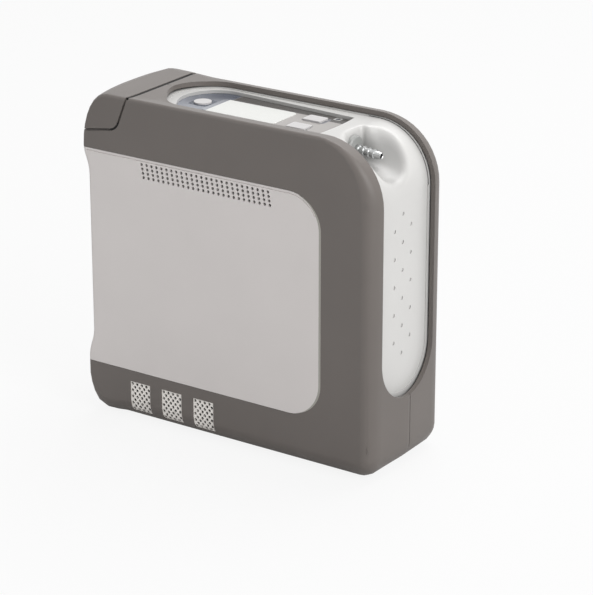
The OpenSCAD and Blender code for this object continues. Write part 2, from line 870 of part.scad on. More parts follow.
// Slots in the case's foot that the bay's blades enter
blade_at = [-24, -8, 8, 24];
blade_w = 6;
blade_t = 0.8;
blade_h = 5;
module blades(g, z0, z1) {
    for (y = blade_at)
        translate([batt_x - blade_t / 2 - g, y - blade_w / 2 - g, z0]) cube([blade_t + 2 * g, blade_w + 2 * g, z1 - z0]);
}
module battery_case() {
    color("#3b3c3f") difference() {
        upright_box(batt_w, batt_d, batt_low, batt_top);
        upright_box(batt_w - 2 * case_wall, batt_d - 2 * case_wall, batt_low + case_wall, batt_top - case_wall);
        blades(0.5, batt_low - 1, batt_low + case_wall + 1);
    }
}

module battery_cells() {
    color("#4f7fb5") for (i = [0:cell_n - 1])
        translate([batt_x, 0, batt_low + case_wall + 0.3 + (i + 0.5) * cell_pitch]) rotate([90, 0, 0])
            rotate_extrude() polygon([[0, -cell_l / 2], [cell_d / 2 - 0.5, -cell_l / 2], [cell_d / 2, 0.5 - cell_l / 2],
                [cell_d / 2, cell_l / 2 - 2], [cell_d / 2 - 0.6, cell_l / 2 - 1.4], [cell_d / 2 - 0.6, cell_l / 2 - 0.6],
                [3, cell_l / 2 - 0.6], [3, cell_l / 2], [0, cell_l / 2]]);
}

// Nickel strips along the cells' ends
strip_t = 0.3;
module battery_contacts() {
    color("#c9c7be") for (s = [-1, 1])
        translate([batt_x - 4, s * (cell_l / 2 + strip_t / 2) - strip_t / 2, batt_low + case_wall])
            cube([8, strip_t, cell_n * cell_pitch]);
}

// Corner cap over the battery, held to the case by ribs
rib_t = 2;
rib_at = [-30, -10, 10, 30];
module battery_cap() {
    color(shell_grey) {
        for (side = [-1, 1]) intersection() {
            skin(side, 0, wall);
            through(-far, far) cap_outline(0);
        }
        intersection() {
            union() for (y = rib_at)
                translate([batt_x - batt_w / 2, y - rib_t / 2, batt_top]) cube([batt_w, rib_t, far]);
            through(-far, far) polygon(outline_inset(wall - 0.8));
            through(-far, far) cap_outline(-1);
        }
    }
}

// Bay sleeve in the casing, with the connector in its foot
sleeve_top = 187;
sleeve_low = 33;
sleeve_floor = 2;
module battery_bay() {
    w = batt_w + 2 * bay_clear;
    d = batt_d + 2 * bay_clear;
    color("#55585a") difference() {
        upright_box(w + 2 * sleeve_t, d + 2 * sleeve_t, sleeve_low, sleeve_top);
        upright_box(w, d, sleeve_low + sleeve_floor, far);
        upright_box(10, 62, sleeve_low - 1, sleeve_low + 5);
    }
}

module bay_connector() {
    color("#26282b") difference() {
        union() {
            upright_box(9.6, 61.6, sleeve_low - 6, batt_low - fit_gap);
            upright_box(16, 66, sleeve_low - 6, sleeve_low);
        }
        blades(0, batt_low - fit_gap - 2, far);
    }
    color("#c8a24a") blades(0, batt_low - fit_gap - 2, batt_low + case_wall - 0.2);
}

// Compressor: motor in front, crankcase at the rear, two opposed cylinders
shaft_x = 0;
case_y = [2, 32];
case_half = 20;
case_t = 3;
cyl_y = (case_y[0] + case_y[1]) / 2;
barrel_l = 24;
head_t = 6;
fin_d = 37;
fin_t = 1.4;
bearing_d = 14;
bearing_w = 4;
mount_at = [[-27, -19], [27, -19], [-27, 19], [27, 19]];
base_plate_z = 18;
base_plate_t = 3;
module at_shaft(y) {
    translate([shaft_x, y, shaft_z]) rotate([-90, 0, 0]) children();
}
module crankcase() {
    color("#a7abad") difference() {
        union() {
            translate([-case_half, case_y[0], shaft_z - case_half]) cube([2 * case_half, case_y[1] - case_y[0], 2 * case_half]);
            translate([-34, -25, base_plate_z]) cube([68, 50, base_plate_t]);
            for (x = [-17, 14]) translate([x, case_y[0] + 4, base_plate_z]) cube([3, 18, 12]);
            translate([-13, -24, base_plate_z]) cube([26, 4, shaft_z - base_plate_z]);
        }
        translate([case_t - case_half, case_y[0] + case_t + 2, shaft_z - case_half + case_t])
            cube([2 * (case_half - case_t), case_y[1] - case_y[0] - 2 * case_t - 4, 2 * (case_half - case_t)]);
        at_shaft(case_y[0] - 1) cylinder(d = shaft_d + 1, h = 40);
        at_shaft(case_y[0] - 1) cylinder(d = bearing_d, h = bearing_w + 1);
        at_shaft(case_y[1] - bearing_w) cylinder(d = bearing_d, h = 10);
        translate([0, cyl_y, shaft_z]) rotate([0, 90, 0]) cylinder(d = bore_d + 2, h = far, center = true);
        at_shaft(-60) cylinder(d = motor_d, h = 60);
        for (p = mount_at) translate([p[0], p[1], base_plate_z - 1]) cylinder(d = 4, h = 5);
    }
}

motor_y = case_y[0] - motor_l;
module motor_can() {
    color("#2d3034") difference() {
        at_shaft(motor_y) cylinder(d = motor_d, h = motor_l);
        at_shaft(motor_y + 3) cylinder(d = 31, h = motor_l - 6);
        at_shaft(motor_y - 1) cylinder(d = shaft_d + 1, h = motor_l + 2);
        for (a = [0:45:315]) at_shaft(motor_y - 1) rotate(a) translate([11.5, 0, 0]) cylinder(d = 4, h = 5);
    }
}

module motor_rotor() {
    color("#8d5a3b") difference() {
        at_shaft(motor_y + 6) cylinder(d = 30, h = motor_l - 12);
        at_shaft(motor_y) cylinder(d = shaft_d, h = motor_l);
        for (a = [0:60:300]) at_shaft(motor_y) rotate(a) translate([16, 0, 0]) cylinder(d = 5, h = motor_l);
    }
}

rod_w = 4;
module crank_shaft() {
    color("#cfd2d4") {
        at_shaft(motor_y + 3) cylinder(d = shaft_d, h = case_y[1] - motor_y - 4);
        translate([0, 0, crank_throw]) at_shaft(cyl_y - rod_w - 1) cylinder(d = eccentric_d, h = 2 * rod_w + 2);
    }
}

module crank_bearings() {
    color("#9fa3a6") for (y = [case_y[0], case_y[1] - bearing_w]) difference() {
        at_shaft(y) cylinder(d = bearing_d, h = bearing_w);
        at_shaft(y - 1) cylinder(d = shaft_d + 0.08, h = bearing_w + 2);
    }
}

// A finned cylinder on side s of the crankcase
module cylinder_on(s) {
    color("#b4b8ba") translate([s * case_half, cyl_y, shaft_z]) rotate([0, s * 90, 0]) difference() {
        union() {
            cylinder(d = barrel_d, h = barrel_l);
            for (i = [0:fin_n - 1]) translate([0, 0, 3.2 + i * (barrel_l - 5) / fin_n]) cylinder(d = fin_d, h = fin_t);
        }
        translate([0, 0, -1]) cylinder(d = bore_d, h = barrel_l + 2);
    }
}
module cylinder_left() {
    cylinder_on(-1);
}
module cylinder_right() {
    cylinder_on(1);
}

port_d = 5;
port_l = 6;
head_x = case_half + barrel_l;
module cylinder_heads() {
    color("#c3c6c8") for (s = [-1, 1]) {
        translate([s * head_x, cyl_y, shaft_z]) rotate([0, s * 90, 0]) difference() {
            union() {
                cylinder(d = fin_d - 2, h = head_t);
                translate([0, 0, head_t / 2]) rotate([0, -s * 90, 0]) cylinder(d = port_d, h = fin_d / 2 + port_l - 1);
            }
            translate([0, 0, -1]) cylinder(d = bore_d - 6, h = 3);
            for (a = [45:90:315]) rotate(a) translate([14.5, 0, head_t - 1.5]) cylinder(d = 4.4, h = 3);
        }
    }
}

// A piston at mid-stroke; its rod ends in a ring round the eccentric
ring_in = eccentric_d / 2 + crank_throw + fit_gap;
ring_out = ring_in + 2.4;
piston_from = case_half + 8;
piston_t = 7;
module piston_on(s, y) {
    color("#e4e6e6") difference() {
        union() {
            translate([s * piston_from, cyl_y, shaft_z]) rotate([0, s * 90, 0]) cylinder(d = bore_d - 0.12, h = piston_t);
            at_shaft(y - rod_w / 2 + 0.15) cylinder(r = ring_out, h = rod_w - 0.3);
            translate([s > 0 ? ring_in + 1 : -piston_from - 1, y - rod_w / 2 + 0.15, shaft_z - 3.5])
                cube([piston_from - ring_in, rod_w - 0.3, 7]);
        }
        at_shaft(y - rod_w) cylinder(r = ring_in, h = 2 * rod_w);
    }
}
module piston_left() {
    piston_on(-1, cyl_y - rod_w / 2);
}
module piston_right() {
    piston_on(1, cyl_y + rod_w / 2);
}

module vibration_mounts() {
    color("#242424") for (p = mount_at) translate([p[0], p[1], floor_z]) rotate_extrude() polygon([[0, 0], [6.5, 0],
        [6.5, 2], [4.6, 4], [4.6, 7.5], [6.5, 9.5], [6.5, base_plate_z - floor_z], [2, base_plate_z - floor_z],
        [2, base_plate_z - floor_z + 3.6], [0, base_plate_z - floor_z + 3.6]]);
}

// Sieve beds: ribbed tanks with a neck into the manifold
neck_d = 12;
manifold_z = 161;
manifold_h = 13;
bed_top = bed_z + bed_l;
module sieve_bed(y) {
    color("#d7d8d4") translate([bed_x, y, bed_z]) rotate_extrude() polygon([[0, 0], [bed_d / 2 - 1.5, 0],
        [bed_d / 2, 1.5], [bed_d / 2, 8], [bed_d / 2 - 1, 9], [bed_d / 2 - 1, bed_l - 9], [bed_d / 2, bed_l - 8],
        [bed_d / 2, bed_l - 1.5], [bed_d / 2 - 1.5, bed_l], [neck_d / 2, bed_l], [neck_d / 2, manifold_z + 4 - bed_z],
        [0, manifold_z + 4 - bed_z]]);
}
module sieve_bed_front() {
    sieve_bed(-bed_y);
}
module sieve_bed_rear() {
    sieve_bed(bed_y);
}

// Manifold on the beds with the solenoid valves screwed into its side
valve_y = [-20, 0, 20];
valve_z = manifold_z + manifold_h / 2 + 0.5;
valve_l = 22;
feed_x = 64;
module valve_manifold() {
    color("#8f9496") difference() {
        union() {
            translate([bed_x - 18, -34, manifold_z]) cube([36, 68, manifold_h]);
            translate([feed_x, 0, manifold_z - 5]) cylinder(d = port_d, h = 6);
        }
        for (y = [-bed_y, bed_y]) translate([bed_x, y, manifold_z - 1]) cylinder(d = neck_d, h = 5);
        for (y = valve_y) translate([bed_x - 19, y, valve_z]) rotate([0, 90, 0]) cylinder(d = 6, h = 8);
        translate([feed_x, 0, manifold_z - 6]) cylinder(d = 2.6, h = 12);
    }
}

module solenoid_valves() {
    color("#30353b") for (y = valve_y) translate([bed_x - 18, y, valve_z]) rotate([0, -90, 0]) {
        cylinder(d = 13, h = valve_l);
        translate([0, 0, valve_l - 1]) cylinder(d = 7, h = 4);
        translate([0, 0, -7]) cylinder(d = 6, h = 8);
    }
}

module product_tank() {
    color("#cdd0cf") {
        translate([tank_x, tank_y, tank_z]) rotate([0, 90, 0]) rotate_extrude() polygon([[0, -tank_l / 2],
            [tank_d / 2 - 3, -tank_l / 2], [tank_d / 2, 3 - tank_l / 2], [tank_d / 2, tank_l / 2 - 3],
            [tank_d / 2 - 3, tank_l / 2], [0, tank_l / 2]]);
        translate([tank_x + 20, tank_y, tank_z + tank_d / 2 - 1]) cylinder(d = port_d, h = 7);
    }
}

gas_filter_at = [-57, 17];
module gas_filter() {
    color("#e9eae8") translate([gas_filter_at[0], gas_filter_at[1], shelf_top]) rotate_extrude() polygon([[0, -9],
        [port_d / 2, -9], [port_d / 2, 0], [12, 0], [12, 1.5], [11, 1.5], [11, 17], [13, 18], [13, 24],
        [11, 25], [11, 38], [port_d / 2, 40], [port_d / 2, 46], [0, 46]]);
}

sensor_at = [22, 0, 183];
sensor_size = [30, 18, 13];
module oxygen_sensor() {
    color("#4b5157") {
        translate(sensor_at) cube(sensor_size, center = true);
        for (x = [-8, 12], y = [-5, 5])
            translate([sensor_at[0] + x, y, sensor_at[2] + sensor_size[2] / 2 - 1])
                cylinder(d = 3, h = board_z - board_t - sensor_at[2] - sensor_size[2] / 2 + 1);
        for (s = [-1, 1]) translate([sensor_at[0] + s * (sensor_size[0] / 2 - 1), 0, sensor_at[2]])
            rotate([0, s * 90, 0]) cylinder(d = port_d, h = 5);
    }
}

// Filter on the outlet's tail
module outlet_filter() {
    color("#f0f0ee") at_outlet() translate([0, 0, -tail_l - 4]) difference() {
        union() {
            cylinder(d = 9, h = 8);
            translate([0, 0, -4]) cylinder(d = port_d, h = 5);
        }
        translate([0, 0, 4]) cylinder(d = tail_d, h = 5);
        translate([0, 0, -5]) cylinder(d = 2.6, h = 7);
    }
}

// Smooth curve from a to b that leaves along u and arrives along v
function curve(a, u, b, v, n) = [for (i = [0:n]) let (t = i / n, k = 1 - t)
    k * k * k * a + 3 * k * k * t * (a + u) + 3 * k * t * t * (b - v) + t * t * t * b];

// Open tube along a path: outer and inner skin in one closed solid, side normal to ref
module tube_along(path, d_out, d_in, ref) {
    n = len(path);
    m = 12;
    function ring(i, d) =
        let (t = unit(path[min(i + 1, n - 1)] - path[max(i - 1, 0)]), p = unit(cross(t, ref)), q = cross(t, p))
        [for (k = [0:m - 1]) path[i] + d / 2 * (p * cos(360 * k / m) + q * sin(360 * k / m))];
    rings = concat([for (i = [0:n - 1]) ring(i, d_out)], [for (i = [n - 1:-1:0]) ring(i, d_in)]);
    count = len(rings);
    polyhedron(
        points = [for (r = rings) each r],
        faces = [for (i = [0:count - 1], k = [0:m - 1], half = [0, 1])
            let (j = (i + 1) % count, l = (k + 1) % m)
            half == 0 ? [i * m + k, i * m + l, j * m + k] : [j * m + k, i * m + l, j * m + l]]);
}

port_z = shaft_z + fin_d / 2 + port_l - 4;
end_gap = 0.3;
module intake_tube() {
    color("#2f3133") tube_along(curve([-head_x - head_t / 2, cyl_y, port_z], [0, 0, 14],
        [gas_filter_at[0], gas_filter_at[1], shelf_z - end_gap], [0, 0, 14], 9), tube_d, port_d, [0, 1, 0]);
}

module feed_tube() {
    color("#2f3133") tube_along(curve([head_x + head_t / 2, cyl_y, port_z], [0, 0, 20],
        [feed_x, 0, manifold_z - end_gap], [0, 0, 75], 11), tube_d, port_d, [1, 1, 0]);
}

module product_tube() {
    along = [cos(outlet_tilt), 0, -sin(outlet_tilt)];
    reach = sensor_size[0] / 2 + end_gap;
    color("#d9dcda") {
        tube_along(curve([tank_x + 20, tank_y, tank_z + tank_d / 2 + 1], [0, 0, 22],
            sensor_at - [reach, 0, 0], [26, 0, 0], 10), tube_d, port_d, [0.3, 1, 0.3]);
        tube_along(curve(sensor_at + [reach, 0, 0], [10, 0, 0], outlet_at - (tail_l + 4 + end_gap) * along,
            3 * along, 7), tube_d, port_d, [0, 1, 0]);
    }
}

// Main board on edge in its rail, parts towards the rear
module main_board() {
    y = board_y + main_board_t;
    z = shelf_top + 1.5;
    color("#2f6b45") {
        translate([-66, board_y, z]) cube([94, main_board_t, 48]);
        translate([-58, y - 0.5, z + 12]) cube([16, 2.5, 16]);
        translate([-34, y - 0.5, z + 20]) cube([10, 2, 10]);
        translate([8, y - 0.5, z + 10]) cube([14, 9, 12]);
        for (x = [-14, -2]) translate([x, y - 0.5, z + 34]) rotate([-90, 0, 0]) cylinder(d = 9, h = 10);
        translate([-62, y - 0.5, z + 38]) cube([20, 6, 6]);
    }
}

filter_t = 6;
module dust_filters() {
    color("#7d8285") for (side = [-1, 1]) facing(side)
        through(wall - half_d, wall - half_d + filter_t) vent_opening(2);
}

// Axial fan under the shelf: frame with struts and an axle, and its rotor
fan_frame = 60;
axle_d = 3;
module fan_housing() {
    z = shelf_z - fan_t;
    color("#1f2022") translate([fan_x, 0, z]) {
        difference() {
            translate([-fan_frame / 2, -fan_frame / 2, 0]) cube([fan_frame, fan_frame, fan_t]);
            translate([0, 0, -1]) cylinder(d = fan_d + 1, h = fan_t + 2);
            for (x = [-25, 25], y = [-25, 25]) translate([x, y, -1]) cylinder(d = 4.3, h = fan_t + 2);
        }
        cylinder(d = 22, h = 2);
        for (a = [30, 150, 270]) rotate(a) translate([0, -2, 0]) cube([fan_d / 2 + 1.5, 4, 2]);
        cylinder(d = axle_d, h = fan_t - 4);
    }
}

blade_n = 7;
module fan_rotor() {
    color("#2c2d30") translate([fan_x, 0, shelf_z - fan_t + 2.5]) {
        difference() {
            cylinder(d = 24, h = fan_t - 4);
            translate([0, 0, -1]) cylinder(d = axle_d + 0.1, h = fan_t - 5);
        }
        intersection() {
            difference() {
                translate([0, 0, 0.3]) cylinder(d = fan_d, h = fan_t - 4.6);
                translate([0, 0, -1]) cylinder(d = 23, h = fan_t);
            }
            union() for (i = [0:blade_n - 1]) rotate(i * 360 / blade_n) translate([18, 0, (fan_t - 4) / 2])
                rotate([35, 0, 0]) cube([24, 1.4, 24], center = true);
        }
    }
}

front_shell();
rear_shell();
front_panel();
rear_panel();
front_grilles();
rear_grilles();
centre_band();
display_window();
lcd_screen();
power_button();
increase_button();
decrease_button();
status_light();
control_board();
buzzer();
outlet_collar();
outlet_barb();
chassis();
battery_bay();
battery_case();
battery_cap();
battery_cells();
battery_contacts();
bay_connector();
crankcase();
motor_can();
motor_rotor();
crank_shaft();
crank_bearings();
cylinder_left();
cylinder_right();
cylinder_heads();
piston_left();
piston_right();
vibration_mounts();
sieve_bed_front();
sieve_bed_rear();
valve_manifold();
solenoid_valves();
product_tank();
gas_filter();
oxygen_sensor();
outlet_filter();
intake_tube();
feed_tube();
product_tube();
main_board();
dust_filters();
fan_housing();
fan_rotor();
power_inlet();
feet();
case_screws();
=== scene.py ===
"""Looks of the portable oxygen concentrator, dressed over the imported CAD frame."""
import json
import math

import bmesh
import bpy
from mathutils import Matrix, Vector
from mathutils.bvhtree import BVHTree

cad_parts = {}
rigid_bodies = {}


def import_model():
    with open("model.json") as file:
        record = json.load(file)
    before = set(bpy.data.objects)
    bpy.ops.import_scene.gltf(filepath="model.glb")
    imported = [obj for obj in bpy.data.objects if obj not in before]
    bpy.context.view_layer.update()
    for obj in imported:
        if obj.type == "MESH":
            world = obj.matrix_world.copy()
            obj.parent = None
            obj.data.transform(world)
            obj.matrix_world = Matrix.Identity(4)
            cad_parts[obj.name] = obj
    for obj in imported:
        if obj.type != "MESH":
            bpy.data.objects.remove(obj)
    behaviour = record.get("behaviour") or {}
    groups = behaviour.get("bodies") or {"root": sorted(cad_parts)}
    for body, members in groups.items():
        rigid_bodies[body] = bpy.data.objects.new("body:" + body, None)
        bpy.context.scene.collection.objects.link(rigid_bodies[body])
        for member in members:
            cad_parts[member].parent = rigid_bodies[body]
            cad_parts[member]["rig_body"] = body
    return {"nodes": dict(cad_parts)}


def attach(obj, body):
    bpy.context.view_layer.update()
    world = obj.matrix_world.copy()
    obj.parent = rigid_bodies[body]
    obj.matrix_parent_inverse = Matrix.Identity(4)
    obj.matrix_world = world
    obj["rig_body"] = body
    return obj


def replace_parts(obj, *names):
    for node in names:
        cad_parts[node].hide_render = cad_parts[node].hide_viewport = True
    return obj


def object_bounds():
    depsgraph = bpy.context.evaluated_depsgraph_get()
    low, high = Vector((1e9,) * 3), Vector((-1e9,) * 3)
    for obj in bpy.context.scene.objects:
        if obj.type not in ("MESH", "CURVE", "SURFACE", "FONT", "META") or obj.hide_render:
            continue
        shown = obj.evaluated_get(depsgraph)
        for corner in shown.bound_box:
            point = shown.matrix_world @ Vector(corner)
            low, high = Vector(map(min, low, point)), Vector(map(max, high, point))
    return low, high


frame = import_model()
cad_box = [list(corner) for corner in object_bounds()]
nodes = frame["nodes"]
MM = 0.001
# Half the casing's width and depth, and its height, in millimetres, and a place well outside its sides
half_w, half_d, top_z = (round(value / MM, 3) for value in cad_box[1])
outside = half_d + 6


def linear(code):
    """An sRGB hex colour as linear RGBA."""
    parts = [int(code[i:i + 2], 16) / 255 for i in (1, 3, 5)]
    return tuple(c / 12.92 if c <= 0.04045 else ((c + 0.055) / 1.055) ** 2.4 for c in parts) + (1.0,)


def add(tree, kind, settings=None, **inputs):
    """Adds a node; an input is a value or a (node, output) pair, _ stands for a space and iN for input N."""
    node = tree.nodes.new(kind)
    for key, value in (settings or {}).items():
        setattr(node, key, value)
    for key, value in inputs.items():
        socket = node.inputs[int(key[1:])] if key[1:].isdigit() else node.inputs[key.replace("_", " ")]
        if isinstance(value, tuple) and isinstance(value[0], bpy.types.Node):
            tree.links.new(value[0].outputs[value[1]], socket)
        else:
            socket.default_value = value
    return node


def blank(name):
    """A new material with only two nodes, its coordinates and its output, which every finish starts from."""
    material = bpy.data.materials.new(name)
    material.use_nodes = True
    material.node_tree.nodes.clear()
    tree = material.node_tree
    place = add(tree, "ShaderNodeTexCoord")
    output = add(tree, "ShaderNodeOutputMaterial")
    return material, tree, place, output


def scaled(colour, factor):
    """A linear colour made lighter or darker."""
    return tuple(min(c * factor, 1) for c in colour[:3]) + (1.0,)


def moulded(name, colour, roughness, grain_mm=0.8, depth=0.15, cloud=0.04, sheen=0.0, hollow=0.0,
            specular=0.5, bowl_shade=None):
    """Moulded plastic: a spark-eroded grain, faint flow clouds, uneven polish and painted shade in its
    hollows.

    bowl_shade is painted shade round a place: its lowest point, how far it reaches, where it ends, and its
    brightness.
    """
    material, tree, place, output = blank(name)
    cloud_mm, shade_reach_mm, height_mm = 45, 18, 0.05
    grain = add(tree, "ShaderNodeTexNoise", Vector=(place, "Object"), Scale=1 / (grain_mm * MM), Detail=3.0)
    flow = add(tree, "ShaderNodeTexNoise", Vector=(place, "Object"), Scale=1 / (cloud_mm * MM), Detail=2.0)
    tint = add(tree, "ShaderNodeValToRGB", Fac=(flow, "Fac"))
    for stop, position, factor in zip(tint.color_ramp.elements, (0.3, 0.7), (1 - cloud, 1 + cloud)):
        stop.position = position
        stop.color = scaled(linear(colour), factor)
    polish = add(tree, "ShaderNodeMapRange", Value=(grain, "Fac"), To_Min=roughness - 0.05,
                 To_Max=roughness + 0.05)
    bump = add(tree, "ShaderNodeBump", Height=(grain, "Fac"), Strength=depth, Distance=height_mm * MM)
    levels = []
    # Painted shade: ambient occlusion darkens the colour in hollows, by up to the share hollow
    if hollow:
        occlusion_shade = add(tree, "ShaderNodeAmbientOcclusion", {"samples": 8}, Distance=shade_reach_mm * MM)
        levels.append(add(tree, "ShaderNodeMapRange", Value=(occlusion_shade, "AO"), To_Min=1 - hollow, To_Max=1.0))
    # Painted shade: the colour darkens round bowl_shade's lowest point
    if bowl_shade:
        low, reach, end, dim = bowl_shade
        away = add(tree, "ShaderNodeVectorMath", {"operation": "DISTANCE"}, i0=(place, "Object"),
                   i1=tuple(Vector(low) * MM))
        levels.append(add(tree, "ShaderNodeMapRange", Value=(away, "Value"), From_Min=reach * MM,
                          From_Max=end * MM, To_Min=dim))
    shade = (tint, "Color")
    for level in levels:
        toned = add(tree, "ShaderNodeMixRGB", {"blend_type": "MULTIPLY"}, i0=1.0, i1=shade, i2=(level, 0))
        shade = (toned, 0)
    shader = add(tree, "ShaderNodeBsdfPrincipled", Base_Color=shade, Roughness=(polish, "Result"),
                 Normal=(bump, "Normal"), Sheen_Weight=sheen, Sheen_Roughness=0.4,
                 Specular_IOR_Level=specular)
    tree.links.new(shader.outputs[0], output.inputs[0])
    return material


def worked_metal(name, colour, roughness, lines_mm, axis, depth=0.2):
    """Metal with the marks of its making: lines across one axis, or an even grain where axis is None."""
    material, tree, place, output = blank(name)
    along, height_mm = 0.06, 0.04
    stretch = Vector([1 if axis in (None, i) else along for i in range(3)])
    turned = add(tree, "ShaderNodeMapping", Vector=(place, "Object"), Scale=tuple(stretch / (lines_mm * MM)))
    marks = add(tree, "ShaderNodeTexNoise", Vector=(turned, "Vector"), Scale=1.0, Detail=4.0)
    shade = add(tree, "ShaderNodeValToRGB", Fac=(marks, "Fac"))
    for stop, factor in zip(shade.color_ramp.elements, (0.86, 1.1)):
        stop.color = scaled(linear(colour), factor)
    polish = add(tree, "ShaderNodeMapRange", Value=(marks, "Fac"), To_Min=roughness - 0.08,
                 To_Max=roughness + 0.1)
    bump = add(tree, "ShaderNodeBump", Height=(marks, "Fac"), Strength=depth, Distance=height_mm * MM)
    shader = add(tree, "ShaderNodeBsdfPrincipled", Base_Color=(shade, "Color"), Roughness=(polish, "Result"),
                 Normal=(bump, "Normal"), Metallic=1.0)
    tree.links.new(shader.outputs[0], output.inputs[0])
    return material


# Grains and lines are given in millimetres. The real ones are mostly 0.1 to 0.3 mm, too fine to show in
# the render, so they are drawn at 0.5 to 3 mm.

# Spark-textured ABS of the casing: the eroded mould grain makes it matt, with a soft sheen at its edges.
shell_abs = moulded("spark_textured_abs", "#67615d", 0.5, depth=0.25, cloud=0.03, sheen=0.12)
# Satin ABS of the panels: a finer grain, so paler and a little smoother to the eye.
panel_abs = moulded("satin_panel_abs", "#d6d1cf", 0.45, grain_mm=0.7, depth=0.12, cloud=0.015)
# The same satin ABS on the panels' returns in a darker colour: painted shade where they turn from the light,
# so they read as a line.
shaded_return_abs = moulded("satin_panel_abs_return_painted_shade", "#a19e97", 0.45, grain_mm=0.7, depth=0.12, cloud=0.015)
# Gloss-moulded white ABS of the band: nearly no grain, soft wide highlights, and painted shade in its hollows
# and dish.
band_abs = moulded("gloss_white_abs", "#cbcac8", 0.34, grain_mm=1.2, depth=0.05, cloud=0.012, hollow=0.4,
                   bowl_shade=((82.1, -4, 189.6), 17.5, 23, 0.76))
# Powder-coated perforated steel of the grilles: slight orange peel in a warm light grey.
grille_steel = moulded("powder_coated_perforated_steel", "#f0ece7", 0.42, grain_mm=1.0, depth=0.3, cloud=0.03)
# Silk-moulded key caps: matt and very even.
key_caps = moulded("silk_moulded_keycap", "#c6c4c4", 0.5, grain_mm=0.7, depth=0.1, cloud=0.01)
# Glass-filled black nylon of fan, valves and sockets: dull, with the cloudy flow marks of its fibres.
black_nylon = moulded("glass_filled_black_nylon", "#2a2b2e", 0.5, grain_mm=0.8, depth=0.35, cloud=0.15)
# Natural white polypropylene of the filters: smooth and slightly waxy, with slow milky clouds.
white_polypropylene = moulded("natural_white_polypropylene", "#e3e3df", 0.4, grain_mm=1.5, depth=0.1)
# Satin grey ABS of the outlet's collar and the battery bay: even, between matt and shiny.
grey_abs = moulded("grey_satin_abs", "#979896", 0.4, cloud=0.03)
# Glass-filled grey ABS of the chassis: rough to the eye and a little mottled by its fibres.
chassis_abs = moulded("grey_glass_filled_abs", "#b4b7b8", 0.55, grain_mm=1.0, depth=0.35, cloud=0.06)
# Textured ABS of the battery's case: the casing's eroded grain in a darker, flatter grey.
battery_abs = moulded("dark_grey_battery_abs", "#47484b", 0.5, grain_mm=0.7, depth=0.3, cloud=0.05)
# Moulded black rubber: dull, with a dusty bloom and weak highlights.
rubber = moulded("moulded_black_rubber", "#1e1d1d", 0.75, grain_mm=1.0, depth=0.4, cloud=0.3, specular=0.25)
# Extruded dark silicone of the air tubes: smooth, with a soft, slightly greasy shine.
silicone = moulded("extruded_dark_silicone", "#35373a", 0.45, grain_mm=2.0, depth=0.1, cloud=0.08)
# Smoked polycarbonate of the light pipe: dark and glassy, with nearly no grain.
smoked_lens = moulded("smoked_polycarbonate", "#3d4046", 0.2, grain_mm=1.5, depth=0.05, cloud=0.02)
# Extruded pale silicone of the oxygen tube: milky and smooth.
clear_silicone = moulded("extruded_pale_silicone", "#d6dad8", 0.35, grain_mm=2.0, depth=0.1, cloud=0.05)
# Open-cell foam of the dust filters: rough and porous, with no shine at all.
foam = moulded("open_cell_filter_foam", "#34363a", 0.95, grain_mm=0.9, depth=1.0, cloud=0.35)
# Shrunk PVC wrap of the cells: shiny, with the long low waves that shrinking leaves.
cell_wrap = moulded("shrunk_pvc_cell_wrap", "#4a78ad", 0.3, grain_mm=3.0, depth=0.2, cloud=0.06)
# Green solder mask of the boards: glossy, uneven over the copper beneath it.
solder_mask = moulded("green_solder_mask", "#2c6440", 0.35, grain_mm=1.6, depth=0.4, cloud=0.25)
# Black electro-coat of the motor's can: thin, even and half glossy.
motor_paint = moulded("black_e_coat", "#2b2e32", 0.35, grain_mm=1.2, cloud=0.08)
# White powder coat of the sieve beds and the tank: slight orange peel with soft highlights.
sieve_paint = moulded("white_powder_coat", "#d9dad6", 0.4, grain_mm=1.0, depth=0.3, cloud=0.03)
# Sand-cast aluminium of the pump's housings: a coarse grain that scatters the light.
cast_aluminium = worked_metal("sand_cast_aluminium", "#b3b6b8", 0.5, 1.2, None, depth=0.5)
# Turned aluminium of cylinders and pistons: fine bright rings round their axis.
turned_aluminium = worked_metal("turned_aluminium", "#c9cccd", 0.3, 0.5, 0)
# Ground steel of the crank shaft: very fine rings and a narrow, hard highlight.
ground_steel = worked_metal("ground_steel", "#c2c5c8", 0.25, 0.5, 1)
# Sintered bronze of the bearings: brown, porous and softly shining.
sintered_bronze = worked_metal("sintered_bronze", "#9c7c50", 0.5, 0.6, None, depth=0.6)
# Enamelled copper winding: deep lines between the wires, each with its own warm highlight.
copper_winding = worked_metal("enamelled_copper_winding", "#a8623a", 0.3, 0.7, 2, depth=0.8)
# Nickel-plated strip of the contacts: bright and slightly yellow, with rolling marks.
nickel_strip = worked_metal("nickel_plated_strip", "#cfccc2", 0.25, 0.6, 2)
# Black-oxide steel of the screws: nearly black, with a satin shine.
black_screws = worked_metal("black_oxide_steel", "#3e3e40", 0.4, 0.6, None)
# Satin nickel-plated brass of the hose barb: bright, with faint turning rings under the plating.
barb_metal = worked_metal("satin_nickel_plated_brass", "#c2c3c3", 0.24, 0.5, 0, depth=0.15)

# The printed border of the overlay goes from a pale slate in front to a dark one behind, in millimetres; the
# darkening towards the rear is painted shade
fade_front, fade_rear, front_slate, shaded_rear_slate = -16.0, 20.0, "#8d9099", "#464b57"


